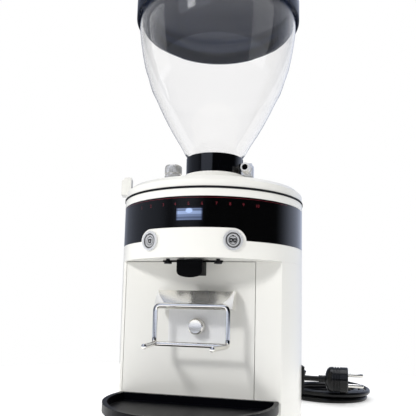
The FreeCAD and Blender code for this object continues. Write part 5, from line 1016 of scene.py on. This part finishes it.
class GRINDER_OT_finishes(bpy.types.Operator):
    """Finish of every solid that shows as it is"""

    bl_idname = "grinder.finishes"
    bl_label = "Finishes"

    def execute(self, context):
        cream = list(context.scene.grinder_finishes.paint)
        kinds = {
            enamel("cream_enamel", cream): [
                "base_casting", "column_housing", "head_shell", "adjusting_drum",
                "adjusting_lever"],
            # The front panel's enamel is the housing paint at 92 %: painted shade for the panel
            # that lies under the overhanging head.
            enamel("panel_enamel", [0.92 * colour for colour in cream]): ["front_panel"],
            gloss_black("band_gloss"): ["control_fascia"],
            collar_finish("collar_black", 0.0324): ["hopper_collar"],
            grained_plastic("tray_black", (0.0012, 0.0012, 0.0022), 0.36, 0.1): ["drip_tray"],
            grained_plastic("moulded_black", (0.003, 0.003, 0.0035), shine=0.25): [
                "spout_screws", "fan_frame", "switch_housing", "fan_rotor", "display_module",
                "run_capacitor", "finger_guard"],
            gloss_black("rocker_black"): ["power_rocker"],
            grained_plastic("terminal_grey", (0.5, 0.5, 0.49)): ["terminal_block"],
            plated("zinc_plating"): [
                "base_plate", "foot_screws", "chamber_screws", "lever_screws",
                "upper_burr_screws", "lower_burr_screws", "clamp_nut"],
            cast_metal("cast_aluminium"): [
                "grind_chamber", "motor_housing", "motor_end_shield", "upper_burr_carrier"],
            stacked_sheet("core_sheets"): ["stator_core", "rotor_core", "transformer"],
            wound_copper("winding_copper"): ["stator_windings"],
            polished("bright_chrome"): ["holder_screws"],
            satin("bezel_satin", (0.85,) * 3, 0.5, 0.26): ["button_bezels"],
            satin("mirror_plate", (0.95, 0.93, 0.88), 0.85, 0.14): ["rest_plate"],
            brushed("plate_steel", (0.88,) * 3, (40, 1, 1), 0.36, 0.15): ["holder_back_plate"],
            lathed("shaft_steel", (0.62,) * 3, (0, 0, 0), 2): [
                "rotor_shaft", "shaft_bearings", "lower_burr_carrier"],
            brushed("burr_steel", (0.5, 0.5, 0.51), (1, 1, 30), 0.3): [
                "upper_burr", "lower_burr"],
            circuit("circuit_board"): ["control_board", "power_board"],
            rubber("foot_rubber"): ["rubber_feet"],
            lit_screen("screen_glow", (0, -0.0973, 0.2061), 0.0266, 0.0136): [
                "display_window"],
        }
        finished = set()
        for finish, nodes in kinds.items():
            for node in nodes:
                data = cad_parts[node].data
                data.materials.clear()
                data.materials.append(finish.material)
                finished.add(node)
        plain = {name for name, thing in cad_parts.items() if not thing.hide_render}
        if plain - finished:
            raise RuntimeError("solids without a finish: " + ", ".join(sorted(plain - finished)))
        return {"FINISHED"}


class GRINDER_OT_stage(bpy.types.Operator):
    """Pale floor and soft studio light"""

    bl_idname = "grinder.stage"
    bl_label = "Stage"

    def execute(self, context):
        mesh = bmesh.new()
        bmesh.ops.create_circle(mesh, cap_ends=True, radius=0.56, segments=96)
        data = bpy.data.meshes.new("floor")
        mesh.to_mesh(data)
        mesh.free()
        floor = bpy.data.objects.new("floor", data)
        data.materials.append(seamless("floor_paper", 0.9).material)
        context.scene.collection.objects.link(floor)

        self.surround(context)
        self.light("key", (-0.53, -1.28, 0.9), 0.12, 0.26, 11.5, mirrored=False)
        self.light("above", (0.0, 0.1, 2.2), 0.2, 1.6, 17)
        self.light("right_fill", (1.5, -0.3, 0.6), 0.2, 0.9, 4.2, mirrored=False)
        self.light("left_fill", (-1.5, -0.2, 0.6), 0.2, 0.9, 5, mirrored=False)
        context.scene.view_settings.view_transform = "Standard"
        return {"FINISHED"}

    def surround(self, context):
        """White studio that mirrors dark in front, with a soft box to the left."""
        studio = Studio("studio")
        across, ahead, up = [studio.add("ShaderNodeSeparateXYZ", {}, {
            0: studio.add("ShaderNodeTexCoord", {}, {}, "Generated")}, axis) for axis in range(3)]
        ray = [studio.add("ShaderNodeLightPath", {}, {}, name)
               for name in ("Is Glossy Ray", "Is Transmission Ray", "Is Camera Ray")]
        mirrored = ray[0] * (1 - ray[1])
        behind = studio.rise(ahead, 0.1, 0.7) * (0.3 + studio.rise(across, -0.3, 0.3) * 0.5)
        overhead = studio.rise(up, 0.75, 0.95) * 0.7
        beside = studio.rise(across, -0.55, -0.9) * 0.3
        below = studio.rise(up, 0.015, -0.02) * (1 - studio.rise(ahead, 0.2, 0.5) * 0.8)
        slant = across / (0 - ahead)
        box = (studio.rise(slant, -0.95, -0.45) * studio.rise(slant, 0.1, -0.3)
               * (ahead < 0.0))
        strength = (studio.rise(up, 0.0, 0.18) * 0.3 + studio.rise(up, 0.235, 0.29) * 22
                    ) * studio.rise(up, 0.85, 0.7)
        open_side = behind.larger(overhead).larger(below).larger(beside) + box * strength
        mirror = studio.shades(open_side * 0.99 + 0.01, (0, 0, 0), (0.82, 0.90, 1.12))
        seen = studio.shades(ray[2], (0.50, 0.505, 0.51), (1.0, 1.0, 1.0))
        clear = studio.shades(ray[1], seen, (1.0, 1.0, 1.0))
        studio.feed(studio.shader.inputs["Color"], studio.shades(mirrored, clear, mirror))
        context.scene.world = studio.world

    def light(self, name, spot, target, width, power, mirrored=True):
        """Square lamp that faces the machine's axis at a height."""
        lamp = bpy.data.lights.new(name, "AREA")
        lamp.shape = "RECTANGLE"
        lamp.size = lamp.size_y = width
        lamp.energy = power
        holder = bpy.data.objects.new(name, lamp)
        bpy.context.scene.collection.objects.link(holder)
        holder.location = spot
        ahead = Vector((0, 0, target)) - Vector(spot)
        holder.rotation_euler = ahead.to_track_quat("-Z", "Y").to_euler()
        holder.visible_glossy = mirrored


OPERATORS = (GRINDER_OT_camera, GRINDER_OT_lead, GRINDER_OT_hopper, GRINDER_OT_controls,
             GRINDER_OT_holder, GRINDER_OT_details, GRINDER_OT_finishes, GRINDER_OT_stage)


class GRINDER_PT_panel(bpy.types.Panel):
    """Lists what the machine is dressed with."""

    bl_idname = "GRINDER_PT_panel"
    bl_label = "Espresso grinder"
    bl_space_type = "VIEW_3D"
    bl_region_type = "UI"
    bl_category = "Grinder"

    def draw(self, context):
        scene = context.scene
        for name in ("paint", "ink", "hopper_tint", "lid_tint"):
            self.layout.prop(scene.grinder_finishes, name)
        for name in ("cord_diameter", "figure_height", "knurl_ridges", "lens"):
            self.layout.prop(scene.grinder_sizes, name)
        for kind in OPERATORS:
            self.layout.operator(kind.bl_idname)


CLASSES = (GrinderFinishes, GrinderSizes, *OPERATORS, GRINDER_PT_panel)


def register():
    for kind in CLASSES:
        bpy.utils.register_class(kind)
    bpy.types.Scene.grinder_finishes = PointerProperty(type=GrinderFinishes)
    bpy.types.Scene.grinder_sizes = PointerProperty(type=GrinderSizes)


def unregister():
    del bpy.types.Scene.grinder_sizes
    del bpy.types.Scene.grinder_finishes
    for kind in reversed(CLASSES):
        bpy.utils.unregister_class(kind)


def main():
    register()
    for kind in OPERATORS:
        group, name = kind.bl_idname.split(".")
        getattr(getattr(bpy.ops, group), name)()


if __name__ == "__main__":
    main()
